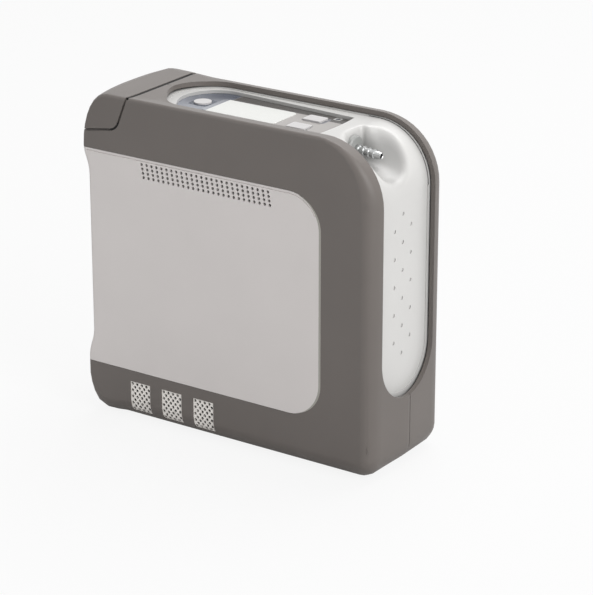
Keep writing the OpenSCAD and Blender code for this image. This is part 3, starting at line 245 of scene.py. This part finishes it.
def overlay_film():
    """Screen-printed polycarbonate overlay: slate border and key fields on a warm grey, satin on top, painted
    shade behind.
    """
    material, tree, place, output = blank("screen_printed_overlay_painted_shade")
    in_mm = add(tree, "ShaderNodeMapping", Vector=(place, "Object"), Scale=(1 / MM, 1 / MM, 1 / MM))
    spot = add(tree, "ShaderNodeSeparateXYZ", Vector=(in_mm, "Vector"))

    def outside_box(centre_x, centre_y, half_x, half_y, soft=0.25, squareness=6.0):
        """0 inside a rounded box, 1 outside it, in millimetres."""
        parts = []
        for axis, centre, half in (("X", centre_x, half_x), ("Y", centre_y, half_y)):
            off = add(tree, "ShaderNodeMath", {"operation": "SUBTRACT"}, i0=(spot, axis), i1=centre)
            size = add(tree, "ShaderNodeMath", {"operation": "ABSOLUTE"}, i0=(off, 0))
            power = add(tree, "ShaderNodeMath", {"operation": "POWER"}, i0=(size, 0), i1=squareness)
            parts.append(add(tree, "ShaderNodeMath", {"operation": "DIVIDE"}, i0=(power, 0),
                             i1=half ** squareness))
        total = add(tree, "ShaderNodeMath", {"operation": "ADD"}, i0=(parts[0], 0), i1=(parts[1], 0))
        return add(tree, "ShaderNodeMapRange", Value=(total, 0), From_Min=1 - soft, From_Max=1 + soft)

    def beyond(axis, place_mm, soft=0.8):
        """0 before a place on an axis, 1 after it, in millimetres."""
        return add(tree, "ShaderNodeMapRange", Value=(spot, axis), From_Min=place_mm,
                   From_Max=place_mm + soft)

    field_left, strip_front, tail_left, tail_front, speck_mm = -31.5, 13.3, 40.5, 9.6, 1.2
    # Painted shade: the border's slate darkens from front to rear
    across = add(tree, "ShaderNodeMapRange", Value=(spot, "Y"), From_Min=fade_front, From_Max=fade_rear)
    border = add(tree, "ShaderNodeMixRGB", i0=(across, 0), i1=linear(front_slate), i2=linear(shaded_rear_slate))
    # Warm grey field right of the border, with a dark strip of painted shade behind it that widens at its
    # right end
    side = beyond("X", field_left, 1.0)
    field = add(tree, "ShaderNodeMixRGB", i0=(side, 0), i1=(border, 0), i2=linear("#a29e9b"))
    strip = add(tree, "ShaderNodeMath", {"operation": "MULTIPLY"}, i0=(beyond("Y", strip_front), 0),
                i1=(side, 0))
    tail = add(tree, "ShaderNodeMath", {"operation": "MULTIPLY"}, i0=(beyond("X", tail_left), 0),
               i1=(beyond("Y", tail_front), 0))
    strip = add(tree, "ShaderNodeMath", {"operation": "MAXIMUM"}, i0=(strip, 0), i1=(tail, 0))
    field = add(tree, "ShaderNodeMixRGB", i0=(strip, 0), i1=(field, 0), i2=linear("#4b4846"))
    # Printed fields: centre, half width, half depth and colour, round the three keys and the status light;
    # the rear key's field is darker than the front key's, print and painted shade
    for centre_x, centre_y, half_x, half_y, colour in (
            (-43.8, 0, 7.1, 7.1, "#3f4655"), (34.2, 8.8, 8.2, 5.6, "#6c6c72"),
            (33.5, -8.8, 7.3, 5.6, "#8a898a"), (44.5, 17, 2.4, 2.4, "#b5b4b2")):
        outer = outside_box(centre_x, centre_y, half_x, half_y)
        field = add(tree, "ShaderNodeMixRGB", i0=(outer, 0), i1=linear(colour), i2=(field, 0))
    speck = add(tree, "ShaderNodeTexNoise", Vector=(place, "Object"), Scale=1 / (speck_mm * MM), Detail=3.0)
    bump = add(tree, "ShaderNodeBump", Height=(speck, "Fac"), Strength=0.08, Distance=0.03 * MM)
    polish = add(tree, "ShaderNodeMapRange", Value=(speck, "Fac"), To_Min=0.2, To_Max=0.28)
    shader = add(tree, "ShaderNodeBsdfPrincipled", Base_Color=(field, 0), Roughness=(polish, 0),
                 Normal=(bump, 0))
    tree.links.new(shader.outputs[0], output.inputs[0])
    return material


def reflective_lcd():
    """Reflective liquid-crystal glass, switched off: near white, with the faint grid of its pixels."""
    material, tree, place, output = blank("reflective_lcd_glass")
    pixel, pixel_gap, print_end, display_start = 0.6 * MM, 0.07 * MM, -32.6 * MM, -32.2 * MM
    grid = add(tree, "ShaderNodeTexBrick", {"offset": 0.0}, Vector=(place, "Object"), Scale=1.0,
               Color1=linear("#dfe0dc"), Color2=linear("#dcddd9"), Mortar=linear("#d2d3cf"),
               Mortar_Size=pixel_gap, Brick_Width=pixel, Row_Height=pixel)
    spot = add(tree, "ShaderNodeSeparateXYZ", Vector=(place, "Object"))
    # The print left of the screen, with the overlay's painted shade darkening it towards the rear
    across = add(tree, "ShaderNodeMapRange", Value=(spot, "Y"), From_Min=fade_front * MM,
                 From_Max=fade_rear * MM)
    printed = add(tree, "ShaderNodeMixRGB", i0=(across, 0), i1=linear(front_slate), i2=linear(shaded_rear_slate))
    shown = add(tree, "ShaderNodeMapRange", Value=(spot, "X"), From_Min=print_end, From_Max=display_start)
    face = add(tree, "ShaderNodeMixRGB", i0=(shown, 0), i1=(printed, 0), i2=(grid, "Color"))
    shader = add(tree, "ShaderNodeBsdfPrincipled", Base_Color=(face, 0), Roughness=0.22, Coat_Weight=0.5,
                 Coat_Roughness=0.05)
    tree.links.new(shader.outputs[0], output.inputs[0])
    return material


overlay = overlay_film()
lcd_glass = reflective_lcd()

# The CAD nodes that each finish covers
finish_of = {
    shell_abs: ["front_shell", "rear_shell", "battery_cap"],
    panel_abs: ["front_panel", "rear_panel"],
    grille_steel: ["front_grilles", "rear_grilles"],
    band_abs: ["centre_band"],
    key_caps: ["power_button", "increase_button", "decrease_button"],
    black_nylon: ["buzzer", "bay_connector", "solenoid_valves", "fan_housing", "fan_rotor", "power_inlet",
                  "oxygen_sensor"],
    white_polypropylene: ["gas_filter", "outlet_filter"],
    grey_abs: ["outlet_collar", "battery_bay"],
    chassis_abs: ["chassis"],
    battery_abs: ["battery_case"],
    rubber: ["feet", "vibration_mounts"],
    silicone: ["intake_tube", "feed_tube"],
    clear_silicone: ["product_tube"],
    smoked_lens: ["status_light"],
    overlay: ["display_window"],
    lcd_glass: ["lcd_screen"],
    foam: ["dust_filters"],
    cell_wrap: ["battery_cells"],
    solder_mask: ["control_board", "main_board"],
    motor_paint: ["motor_can"],
    sieve_paint: ["sieve_bed_front", "sieve_bed_rear", "product_tank"],
    cast_aluminium: ["crankcase", "cylinder_heads", "valve_manifold"],
    turned_aluminium: ["cylinder_left", "cylinder_right", "piston_left", "piston_right"],
    ground_steel: ["crank_shaft"],
    sintered_bronze: ["crank_bearings"],
    copper_winding: ["motor_rotor"],
    nickel_strip: ["battery_contacts"],
    black_screws: ["case_screws"],
    barb_metal: ["outlet_barb"],
}
material_of = {}
for material, names in finish_of.items():
    for name in names:
        material_of[name] = material
        nodes[name].data.materials.clear()
        nodes[name].data.materials.append(material)


def place_piece(name, mesh, material, body):
    """Puts a finished mesh in the scene at the origin, riding on its body."""
    piece = bpy.data.objects.new(name, mesh)
    bpy.context.scene.collection.objects.link(piece)
    mesh.materials.clear()
    mesh.materials.append(material)
    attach(piece, body)
    return piece


def marked(bm, sharp):
    """Smooth faces, with the edges sharper than an angle kept crisp."""
    for face in bm.faces:
        face.smooth = True
    for edge in bm.edges:
        edge.smooth = len(edge.link_faces) == 2 and edge.calc_face_angle() < math.radians(sharp)
    return bm


def smooth_copy(node, sharp=28, slices=(), shape=None):
    """A bmesh of a CAD node, merged and its flat facets joined, sliced across (axis, place) and shaped."""
    bm = bmesh.new()
    bm.from_mesh(nodes[node].data)
    bmesh.ops.remove_doubles(bm, verts=bm.verts, dist=0.002 * MM)
    bmesh.ops.dissolve_limit(bm, angle_limit=math.radians(1.2), verts=bm.verts, edges=bm.edges)
    for axis, place in slices:
        normal = [1 if i == axis else 0 for i in range(3)]
        bmesh.ops.bisect_plane(bm, geom=bm.verts[:] + bm.edges[:] + bm.faces[:], dist=0.001 * MM,
                               plane_co=Vector(normal) * place * MM, plane_no=normal)
    if shape:
        for vert in bm.verts:
            shape(vert.co)
    return marked(bm, sharp)


def mesh_of(bm, name):
    """A mesh made from a bmesh, which is freed."""
    mesh = bpy.data.meshes.new(name)
    bm.to_mesh(mesh)
    bm.free()
    return mesh


def cut_by(mesh, tool):
    """A mesh with a tool mesh cut out of it."""
    scene = bpy.context.scene
    pair = [bpy.data.objects.new("work", mesh), bpy.data.objects.new("tool", tool)]
    for item in pair:
        scene.collection.objects.link(item)
    modifier = pair[0].modifiers.new("cut", "BOOLEAN")
    modifier.operation = "DIFFERENCE"
    modifier.solver = "EXACT"
    modifier.object = pair[1]
    result = bpy.data.meshes.new_from_object(pair[0].evaluated_get(bpy.context.evaluated_depsgraph_get()))
    for item in pair:
        bpy.data.objects.remove(item)
    return result


def tube(sections, name):
    """A closed mesh skinned over sections of four points each, in millimetres."""
    bm = bmesh.new()
    rings = [[bm.verts.new(Vector(point) * MM) for point in section] for section in sections]
    for one, two in zip(rings, rings[1:]):
        for i in range(4):
            bm.faces.new((one[i], one[(i + 1) % 4], two[(i + 1) % 4], two[i]))
    bm.faces.new(rings[0])
    bm.faces.new(rings[-1])
    bmesh.ops.recalc_face_normals(bm, faces=bm.faces)
    return mesh_of(bm, name)


def eased(t):
    """0 to 1 with soft ends."""
    t = min(max(t, 0), 1)
    return t * t * (3 - 2 * t)


# The slot on top that holds the band: its round left end, how far from there its pull rises and fades,
# half its depth and its lowest wall; how far its end moves in at the rear and how much more in front, where
# that extra starts, and over what depth it comes in
slot_left, slot_rise, slot_fade, slot_half, slot_low = -71.5, 2.5, 30, 31.5, 200
rear_shift, more_in_front, front_start, front_over = 2.2, 3.0, 6, 26

# The window in the band: its ends, where its rear edge starts, half its depth and its lowest face; the
# stretch that holds its right end, how far that is drawn out, and how far the rear edge comes forward there
window_left, window_right, window_rear, window_half, window_low = -40, 52, 21, 25.9, 203
window_end_from, window_end_to, window_draw, window_taper = 47, 56, 3.5, 5.5

# The corner cap's shoulder: the middle of its bulge, the bulge's radius and height, how far it reaches in
# front of its middle and behind it, and the way it lifts the skin
shoulder_x, shoulder_y, shoulder_z, shoulder_r, shoulder_lift = -98.5, -5, 207.2, 9, 2.8
shoulder_front, shoulder_rear, shoulder_way = 34, 44, (-0.56, 0.83)

# The low left corner: its middle, and how much, where and how widely it is filled out, in degrees round it
foot_x, foot_z, foot_growth, foot_turn, foot_span = -83.5, 25, 0.17, 52, 38


def slot_end(co):
    """Brings the slot's round left end nearer the middle, most of all in front, as in the photograph."""
    x, y, z = co / MM
    away = x - slot_left
    if z > slot_low and abs(y) < slot_half and 0 < away < slot_rise + slot_fade:
        shift = rear_shift + more_in_front * eased((front_start - y) / front_over)
        co.x += shift * MM * (eased(away / slot_rise) - eased((away - slot_rise) / slot_fade))


def window_end(co):
    """The slot's end, and the window drawn out and tapered towards its right end, as in the photograph."""
    slot_end(co)
    x, y, z = co / MM
    if z > window_low and abs(y) < window_half and x < window_end_to:
        if y > window_rear:
            share = min(max((x - window_left) / (window_right - window_left), 0), 1)
            co.y -= window_taper * MM * share
        if x > window_end_from:
            co.x += window_draw * MM


def shoulder(co):
    """Fills out the corner cap's shoulder across its depth, inside the CAD box."""
    x, y, z = co / MM
    reach = math.hypot(x - shoulder_x, z - shoulder_z) / shoulder_r
    deep = abs(y - shoulder_y) / (shoulder_rear if y > shoulder_y else shoulder_front)
    lift = shoulder_lift * MM * math.exp(-reach ** 2) * max(1 - deep ** 2.4, 0)
    co.x = max(co.x + shoulder_way[0] * lift, (0.1 - half_w) * MM)
    co.z = min(co.z + shoulder_way[1] * lift, max(co.z, (top_z - 0.05) * MM))


def full_corner(co):
    """The slot's end, and the low corner under the grip filled out as photographed."""
    slot_end(co)
    x, y, z = co / MM
    if x < foot_x and z < foot_z:
        off = math.degrees(math.atan2(foot_z - z, foot_x - x)) - foot_turn
        grow = 1
        if abs(off) < foot_span:
            grow += foot_growth * math.cos(math.radians(off / foot_span * 90)) ** 2
        co.x = (foot_x + (x - foot_x) * grow) * MM
        co.z = max(foot_z + (z - foot_z) * grow, min(z, 1)) * MM


# The gap round the corner cap in the side view: down its slant, round a corner and out to the left
gap_top, gap_low, gap_left = Vector((-72.25, top_z)), Vector((-80.75, 191.75)), Vector((-half_w, 187.35))
gap_r, gap_steps = 8.25, 8
up, out = (gap_top - gap_low).normalized(), (gap_left - gap_low).normalized()
half_angle = up.angle(out) / 2
middle = gap_low + (up + out).normalized() * gap_r / math.sin(half_angle)
ends = [gap_low + way * gap_r / math.tan(half_angle) - middle for way in (up, out)]
gap_path = [gap_top + Vector((0, 4)), gap_top]
for step in range(gap_steps + 1):
    share = step / gap_steps
    gap_path.append(middle + (ends[0] * (1 - share) + ends[1] * share).normalized() * gap_r)
gap_path += [gap_left + out * 6]


def beside(path, i, half_width):
    """The two points of a side-view path either side of point i."""
    ahead = (path[min(i + 1, len(path) - 1)] - path[max(i - 1, 0)]).normalized()
    off = Vector((-ahead.y, ahead.x)) * half_width
    return path[i] - off, path[i] + off


def groove(path, layers):
    """Cutter that follows a side-view path through layers of (y, half width)."""
    bm = bmesh.new()
    rows = [[[bm.verts.new(Vector((p.x, depth, p.y)) * MM) for p in beside(path, i, width)]
             for i in range(len(path))] for depth, width in layers]
    for one, two in zip(rows, rows[1:]):
        for a, b, c, d in zip(one, one[1:], two[1:], two):
            bm.faces.new((a[0], b[0], c[0], d[0]))
            bm.faces.new((a[1], b[1], c[1], d[1]))
        for i in (0, -1):
            bm.faces.new((one[i][0], one[i][1], two[i][1], two[i][0]))
    for row in (rows[0], rows[-1]):
        for a, b in zip(row, row[1:]):
            bm.faces.new((a[0], b[0], b[1], a[1]))
    bmesh.ops.recalc_face_normals(bm, faces=bm.faces)
    return mesh_of(bm, "groove")


def box_tool(low_corner, high_corner):
    """A closed box mesh, in millimetres."""
    low_corner, high_corner = Vector(low_corner), Vector(high_corner)
    bm = bmesh.new()
    bmesh.ops.create_cube(bm, size=1, matrix=Matrix.Translation((low_corner + high_corner) / 2 * MM)
                          @ Matrix.Diagonal(((high_corner - low_corner) * MM).to_4d()))
    return mesh_of(bm, "box_tool")


# The panels' right corners in the side view, and the radii of the fine step and of the return round them;
# the return's grey is painted shade
panel_right, panel_upper, panel_lower = 47, 154, 57
rim_r, return_r = 21.1, 22.3
# Half the return's width at its ends, what is added between the corners, and over how many points
return_thin, return_widening, return_taper = 0.15, 0.65, 12


def on_corner(height, radius, angle):
    """A point round a corner of the panels, at an angle in degrees clockwise from straight up."""
    turn = math.radians(angle)
    return Vector((panel_right + radius * math.sin(turn), height + radius * math.cos(turn)))


rim_path = [Vector((-104, panel_upper + rim_r)), Vector((panel_right, panel_upper + rim_r))]
rim_path += [on_corner(panel_upper, rim_r, angle) for angle in range(9, 64, 9)]
return_path = [on_corner(panel_upper, return_r, angle) for angle in range(20, 91, 5)]
return_path += [on_corner(panel_lower, return_r, angle) for angle in range(90, 166, 5)]


def panel_return(side, high, deep):
    """The strip along a panel's right edge from one depth to another, widest between the corners."""
    sections = []
    for i in range(len(return_path)):
        from_end = min(i, len(return_path) - 1 - i)
        half_width = return_thin + return_widening * eased(from_end / return_taper)
        inner, outer = beside(return_path, i, half_width)
        sections.append([(inner.x, side * high, inner.y), (outer.x, side * high, outer.y),
                         (outer.x, side * deep, outer.y), (inner.x, side * deep, inner.y)])
    return tube(sections, "panel_return")


def return_rebate(side):
    """Cutter for the rebate that a panel's return lies in."""
    return panel_return(side, half_d + 4, half_d - 0.3)


def grooved(mesh):
    """A shell or the cap with the gap's chamfered groove, the thin seam lines and the returns' rebates."""
    mouth, floor, chamfer, depth = 0.75, 0.6, 0.45, 1.3
    layers = ((outside, mouth), (half_d, mouth), (half_d - chamfer, floor), (half_d - depth, floor))
    tools = [groove(gap_path, [(side * y, half_width) for y, half_width in layers]) for side in (-1, 1)]
    gap_on_top = box_tool((-73.5, -outside, top_z - 1.4), (-71.0, outside, top_z + 7))
    seam_at_right = box_tool((half_w - 0.8, 2.1, -2), (half_w + 4.5, 2.6, 47))
    seam_on_top = box_tool((-71.5, 0.1, top_z - 0.8), (-55, 0.6, top_z + 7))
    tools += [gap_on_top, seam_at_right, seam_on_top] + [return_rebate(side) for side in (-1, 1)]
    for tool in tools:
        mesh = cut_by(mesh, tool)
    return mesh


def rimmed(mesh):
    """A panel with the fine step inside its edge, and the rebate of its return."""
    mouth, floor, depth = 0.42, 0.3, 0.5
    layers = ((outside, mouth), (half_d, mouth), (half_d - depth, floor))
    for side in (-1, 1):
        mesh = cut_by(mesh, groove(rim_path, [(side * y, half_width) for y, half_width in layers]))
        mesh = cut_by(mesh, return_rebate(side))
    return mesh


def dress(node, sharp=28, slices=(), shape=None, work=None, mesh=None):
    """The node's own shape, or a mesh made for it, with smooth shading and standing for it."""
    if mesh is None:
        mesh = mesh_of(smooth_copy(node, sharp, slices, shape), node + "_skin")
    if work:
        bm = bmesh.new()
        bm.from_mesh(work(mesh))
        bmesh.ops.remove_doubles(bm, verts=bm.verts, dist=0.004 * MM)
        mesh = mesh_of(marked(bm, sharp), node + "_skin")
    piece = place_piece(node + "_skin", mesh, material_of[node], nodes[node]["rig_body"])
    weighted = piece.modifiers.new("even_shading", "WEIGHTED_NORMAL")
    weighted.keep_sharp = True
    weighted.weight = 80
    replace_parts(piece, node)


for node in ["front_grilles", "rear_grilles", "power_button", "increase_button", "decrease_button",
             "status_light", "outlet_collar", "power_inlet", "feet", "case_screws"]:
    dress(node)
for node in ["front_shell", "rear_shell"]:
    dress(node, shape=full_corner, work=grooved)
dress("battery_cap", slices=[(1, y) for y in range(-36, 40, 4)] + [(0, x) for x in range(-104, -84, 3)],
      shape=shoulder, work=grooved)
dress("display_window", shape=window_end)
for node in ["front_panel", "rear_panel"]:
    dress(node, work=rimmed)
# The returns: strips in a darker copy of the panels' ABS, painted shade along their right edges
for side, word in ((-1, "front"), (1, "rear")):
    strip = panel_return(side, half_d - 0.1, half_d - 0.7)
    place_piece(word + "_panel_return", strip, shaded_return_abs, "casing")

# Painted shade in the gap round the cap: a black rubber strip along the gap, on top and down both sides, a
# quarter of a millimetre under the cap's skin. It ends where the skin falls away from the top or from a side.
gap_shade_under, gap_shade_deep, gap_shade_half, gap_shade_left, gap_shade_right = 0.25, 1.3, 0.55, -73.4, -71.1
lowest_top, nearest_side, inward = 205, 36, 0.3
skin = nodes["battery_cap"].data
cap_tree = BVHTree.FromPolygons([vert.co for vert in skin.vertices],
                                [tuple(face.vertices) for face in skin.polygons])
run = []
for y in range(-38, 39, 2):
    hit = cap_tree.ray_cast(Vector((gap_shade_left + 0.5, y, top_z + 37)) * MM, Vector((0, 0, -1)))[0]
    if hit and hit.z > lowest_top * MM:
        high, deep = hit.z / MM - gap_shade_under, hit.z / MM - gap_shade_deep
        run.append([(gap_shade_left, y, high), (gap_shade_right, y, high),
                    (gap_shade_right, y, deep), (gap_shade_left, y, deep)])
runs = [run]
for side in (-1, 1):
    run = []
    for i in range(1, len(gap_path)):
        near, away = beside(gap_path, i, gap_shade_half)
        inside = near if near.x < away.x or near.y > away.y else away
        start = Vector((inside.x - inward, side * 2 * half_d, inside.y + inward))
        hit = cap_tree.ray_cast(start * MM, Vector((0, -side, 0)))[0]
        if hit and abs(hit.y) > nearest_side * MM:
            high, deep = hit.y / MM - side * gap_shade_under, hit.y / MM - side * gap_shade_deep
            run.append([(near.x, high, near.y), (away.x, high, away.y),
                        (away.x, deep, away.y), (near.x, deep, near.y)])
    runs.append(run)
for number, run in enumerate(runs):
    place_piece("cap_gasket_%d" % number, tube(run, "cap_gap_shade_strip"), rubber, "casing")

# Centre band: the CAD band, with its top right corner modelled anew so that the dish melts into the band.
# The corner turns about an axis along Y and runs on flat to its left end, as deep as the band on both sides.
corner_x, corner_z, band_r, band_wall, corner_left, corner_half = 66.5, 172, 35.4, 2.2, 60, 27.45
# The outlet's place and the way it points, 5 degrees down
outlet, tilt = Vector((68.5, 0, 195.7)), math.radians(5)
outward = Vector((math.cos(tilt), 0, -math.sin(tilt)))
# The hollow: a long round dish and its slope, a round scoop behind it, and a channel round the barb
dish_centre, dish_r, dish_span, dish_turn = Vector((93.67, -4, 202.71)), 17.5, 11, math.radians(48.5)
dish_along = Vector((-math.sin(dish_turn), 0, math.cos(dish_turn)))
scoop_centre, scoop_r = Vector((84, -3, 207)), 17
channel_r, channel_start, channel_end = 8.2, -1.2, 22
# How widely the scoop and then the channel run into the dish, and the dish into the band's face
scoop_blend, channel_blend, face_blend = 9.0, 2.5, 3.0


def blend(a, b, width):
    """The larger of two distances, rounded where they meet within a width."""
    return max(a, b) + max(width - abs(a - b), 0) ** 2 / (4 * width)


def hollow_distance(point):
    """Distance to the hollow made by the dish, the scoop behind it and the channel round the barb."""
    off = point - dish_centre
    off = off - dish_along * min(max(off.dot(dish_along), -dish_span / 2), dish_span / 2)
    dish = off.length - dish_r
    scoop = (point - scoop_centre).length - scoop_r
    along = (point - outlet).dot(outward)
    across = (point - outlet - outward * along).length
    channel = max(across - channel_r, channel_start - along, along - channel_end)
    return -blend(blend(-dish, -scoop, scoop_blend), -channel, channel_blend)


def band_radius(root, ray, y):
    """How far the band's face stands from a root point along a ray, found step by step from inside.

    Near the corner's left end the edges are sharper, so that it meets the rest of the band.
    """
    reach, steps, share, least, touching = 14.0, 60, 0.8, 0.02, 0.01
    edge_blend = min(face_blend, 0.01 + (root - corner_left) * 0.8)
    for step in range(steps):
        point = Vector((root, y, corner_z)) + ray * reach
        inside = blend(reach - band_r, -hollow_distance(point), edge_blend)
        if inside > -touching:
            break
        reach += max(-inside * share, least)
    return min(reach, band_r)


def softened(rows):
    """A grid of heights, each row averaged with its neighbours, turned so that its columns come next."""
    inner = [[(a + 2 * b + c) / 4 for a, b, c in zip(*three)] for three in zip(rows, rows[1:], rows[2:])]
    return [list(column) for column in zip(*([rows[0]] + inner + [rows[-1]]))]


def band_corner():
    """The band's corner as a closed shell: a turn about its axis and a short flat stretch to the left.

    Its heights are softened five times each way, so that the hollow has no hard edges.
    """
    flat_step, across, passes = 0.5, 90, 10
    flat_steps = round((corner_x - corner_left) / flat_step)
    rays = [(corner_x, Vector((math.cos(math.radians(turn)), 0, math.sin(math.radians(turn)))))
            for turn in range(91)]
    rays += [(corner_x - flat_step * k, Vector((0, 0, 1))) for k in range(1, flat_steps + 1)]
    places = [corner_half * (2 * k / across - 1) for k in range(across + 1)]
    radii = [[band_radius(root, ray, y) for y in places] for root, ray in rays]
    for time in range(passes):
        radii = softened(radii)
    bm = bmesh.new()
    sheets = []
    for back in (0, band_wall):
        sheets.append([[bm.verts.new((Vector((root, y, corner_z)) + ray * (r - back)) * MM)
                        for y, r in zip(places, row)] for (root, ray), row in zip(rays, radii)])
    for sheet in sheets:
        for one, two in zip(sheet, sheet[1:]):
            for quad in zip(one, one[1:], two[1:], two):
                bm.faces.new(quad)
    rims = [[sheet[i] for sheet in sheets] for i in (0, -1)]
    rims += [[[row[i] for row in sheet] for sheet in sheets] for i in (0, -1)]
    for face_line, back_line in rims:
        for quad in zip(face_line, face_line[1:], back_line[1:], back_line):
            bm.faces.new(quad)
    bmesh.ops.recalc_face_normals(bm, faces=bm.faces)
    return mesh_of(marked(bm, 50), "band_corner")


def band_rest():
    """The CAD band without the stretch that the new corner fills, open where the corner covers it."""
    cuts = [(0, corner_left), (2, corner_z), (1, -corner_half), (1, corner_half)]
    bm = smooth_copy("centre_band", slices=cuts, shape=window_end)
    filled = []
    for face in bm.faces:
        spot = face.calc_center_median() / MM
        if spot.x > corner_left and spot.z > corner_z and abs(spot.y) < corner_half:
            filled.append(face)
    bmesh.ops.delete(bm, geom=filled, context="FACES")
    bmesh.ops.recalc_face_normals(bm, faces=bm.faces)
    return mesh_of(marked(bm, 24), "centre_band_skin")


place_piece("band_corner", band_corner(), band_abs, "casing")
dress("centre_band", mesh=band_rest())


def hose_barb():
    """Saw-tooth ridges turned on a tapering spigot with its bore; the outline is in (reach, radius)."""
    ridges, pitch = 4, 3.6
    outline = [(-6, 1.6), (-6, 2.6), (0, 2.6), (0.6, 2.6)]
    for ridge in range(ridges):
        start = ridge * pitch
        outline += [(2.2 + start, 3.15), (2.5 + start, 3.2), (2.9 + start, 2.35)]
    outline += [(15.4, 2.45), (17.6, 2.1), (17.9, 1.85), (17.6, 1.55), (10, 1.5)]
    bm = bmesh.new()
    ring = [bm.verts.new(Vector((radius, 0, reach)) * MM) for reach, radius in outline]
    loop = [bm.edges.new((a, b)) for a, b in zip(ring, ring[1:])]
    end = bm.verts.new(Vector((0, 0, 10)) * MM)
    loop.append(bm.edges.new((ring[-1], end)))
    bmesh.ops.spin(bm, geom=ring + [end] + loop, cent=(0, 0, 0), axis=(0, 0, 1), angle=math.tau, steps=48,
                   use_merge=True)
    bmesh.ops.remove_doubles(bm, verts=bm.verts, dist=0.0005 * MM)
    bmesh.ops.recalc_face_normals(bm, faces=bm.faces)
    turn = outward.to_track_quat("Z", "Y").to_matrix().to_4x4()
    bmesh.ops.transform(bm, matrix=Matrix.Translation(outlet * MM) @ turn, verts=bm.verts)
    return mesh_of(marked(bm, 40), "outlet_barb_skin")


dress("outlet_barb", mesh=hose_barb())


def screen_glass():
    """The screen's glass, flush in the overlay: a plate with round corners and a bevelled edge."""
    middle, size, corner_r, bevel = Vector((-9.15, 0, 205.45)), Vector((54.3, 26.4, 0.5)), 3, 0.15
    bm = bmesh.new()
    bm.from_mesh(box_tool(middle - size / 2, middle + size / 2))
    upright = [edge for edge in bm.edges if abs(edge.verts[0].co.z - edge.verts[1].co.z) > 0.1 * MM]
    bmesh.ops.bevel(bm, geom=upright, offset=corner_r * MM, offset_type="OFFSET", segments=6, profile=0.5,
                    affect="EDGES", material=-1)
    under_rim = (middle.z + size.z / 2 - 0.1) * MM
    rim = [edge for edge in bm.edges if min(vert.co.z for vert in edge.verts) > under_rim]
    bmesh.ops.bevel(bm, geom=rim, offset=bevel * MM, offset_type="OFFSET", segments=2, profile=0.5,
                    affect="EDGES", material=-1)
    return mesh_of(bm, "screen_glass")


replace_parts(place_piece("screen_glass", screen_glass(), lcd_glass, "casing"), "lcd_screen")

# Camera at the photograph's angle, with its focal length and the picture's longer side in pixels
azimuth, elevation, distance = math.radians(34.125), math.radians(20.835), 1.61347
focal_px, picture_px, sensor_mm = 2621.96, 595, 36
target = Vector((25.681, 0, 92.085)) * MM
flat = math.cos(elevation)
back = Vector((math.sin(azimuth) * flat, -math.cos(azimuth) * flat, math.sin(elevation)))
camera = bpy.data.objects.new("camera", bpy.data.cameras.new("camera"))
bpy.context.scene.collection.objects.link(camera)
camera.location = target + back * distance
camera.rotation_euler = back.to_track_quat("Z", "Y").to_euler()
camera.data.sensor_width = sensor_mm
camera.data.lens = focal_px / picture_px * sensor_mm
camera.data.clip_end = 20
bpy.context.scene.camera = camera


def softbox(name, place, size, power, aim=(0, 0, 0.1)):
    """A square studio softbox aimed at the part."""
    lamp = bpy.data.objects.new(name, bpy.data.lights.new(name, "AREA"))
    bpy.context.scene.collection.objects.link(lamp)
    lamp.data.size = size
    lamp.data.energy = power
    lamp.location = place
    lamp.rotation_euler = (Vector(place) - Vector(aim)).to_track_quat("Z", "Y").to_euler()


# Places and sizes in metres, powers in watts: the right side and the top are lit most, the front less
softbox("softbox_right", (1.9, -0.5, 1.1), 1.4, 33)
softbox("softbox_top", (0.0, 0.9, 1.9), 1.6, 30)
softbox("softbox_front", (-0.8, -2.2, 0.5), 1.4, 9.6)

# White surroundings: plain white to the eye and in reflections, a softer level as light
world = bpy.data.worlds.new("white_studio")
bpy.context.scene.world = world
world.use_nodes = True
tree = world.node_tree
tree.nodes.clear()
ambient_level = 0.35
path = add(tree, "ShaderNodeLightPath")
seen = (path, "Is Camera Ray")
for ray in ("Is Glossy Ray", "Is Transmission Ray"):
    seen = (add(tree, "ShaderNodeMath", {"operation": "MAXIMUM"}, i0=seen, i1=(path, ray)), 0)
ambient = add(tree, "ShaderNodeBackground", Color=(1, 1, 1, 1), Strength=ambient_level)
white = add(tree, "ShaderNodeBackground", Color=(1, 1, 1, 1), Strength=1.0)
mixed = add(tree, "ShaderNodeMixShader", i0=seen, i1=(ambient, 0), i2=(white, 0))
add(tree, "ShaderNodeOutputWorld", Surface=(mixed, 0))

# Matt paper floor that keeps the part's shadow; the camera sees it mixed with plain white, by the share below
white_share, floor_half = 0.88, 6
bm = bmesh.new()
bmesh.ops.create_grid(bm, x_segments=1, y_segments=1, size=floor_half)
floor_mesh = mesh_of(bm, "floor")
floor = bpy.data.objects.new("floor", floor_mesh)
bpy.context.scene.collection.objects.link(floor)
floor_paper, tree, place, output = blank("white_studio_paper")
path = add(tree, "ShaderNodeLightPath")
half = add(tree, "ShaderNodeMath", {"operation": "MULTIPLY"}, i0=(path, "Is Camera Ray"), i1=white_share)
paper = add(tree, "ShaderNodeBsdfDiffuse", Color=linear("#d6d6d6"))
lit = add(tree, "ShaderNodeEmission", Color=(1, 1, 1, 1), Strength=1.0)
mixed = add(tree, "ShaderNodeMixShader", i0=(half, 0), i1=(paper, 0), i2=(lit, 0))
tree.links.new(mixed.outputs[0], output.inputs[0])
floor_mesh.materials.append(floor_paper)

bpy.context.scene.view_settings.view_transform = "Standard"
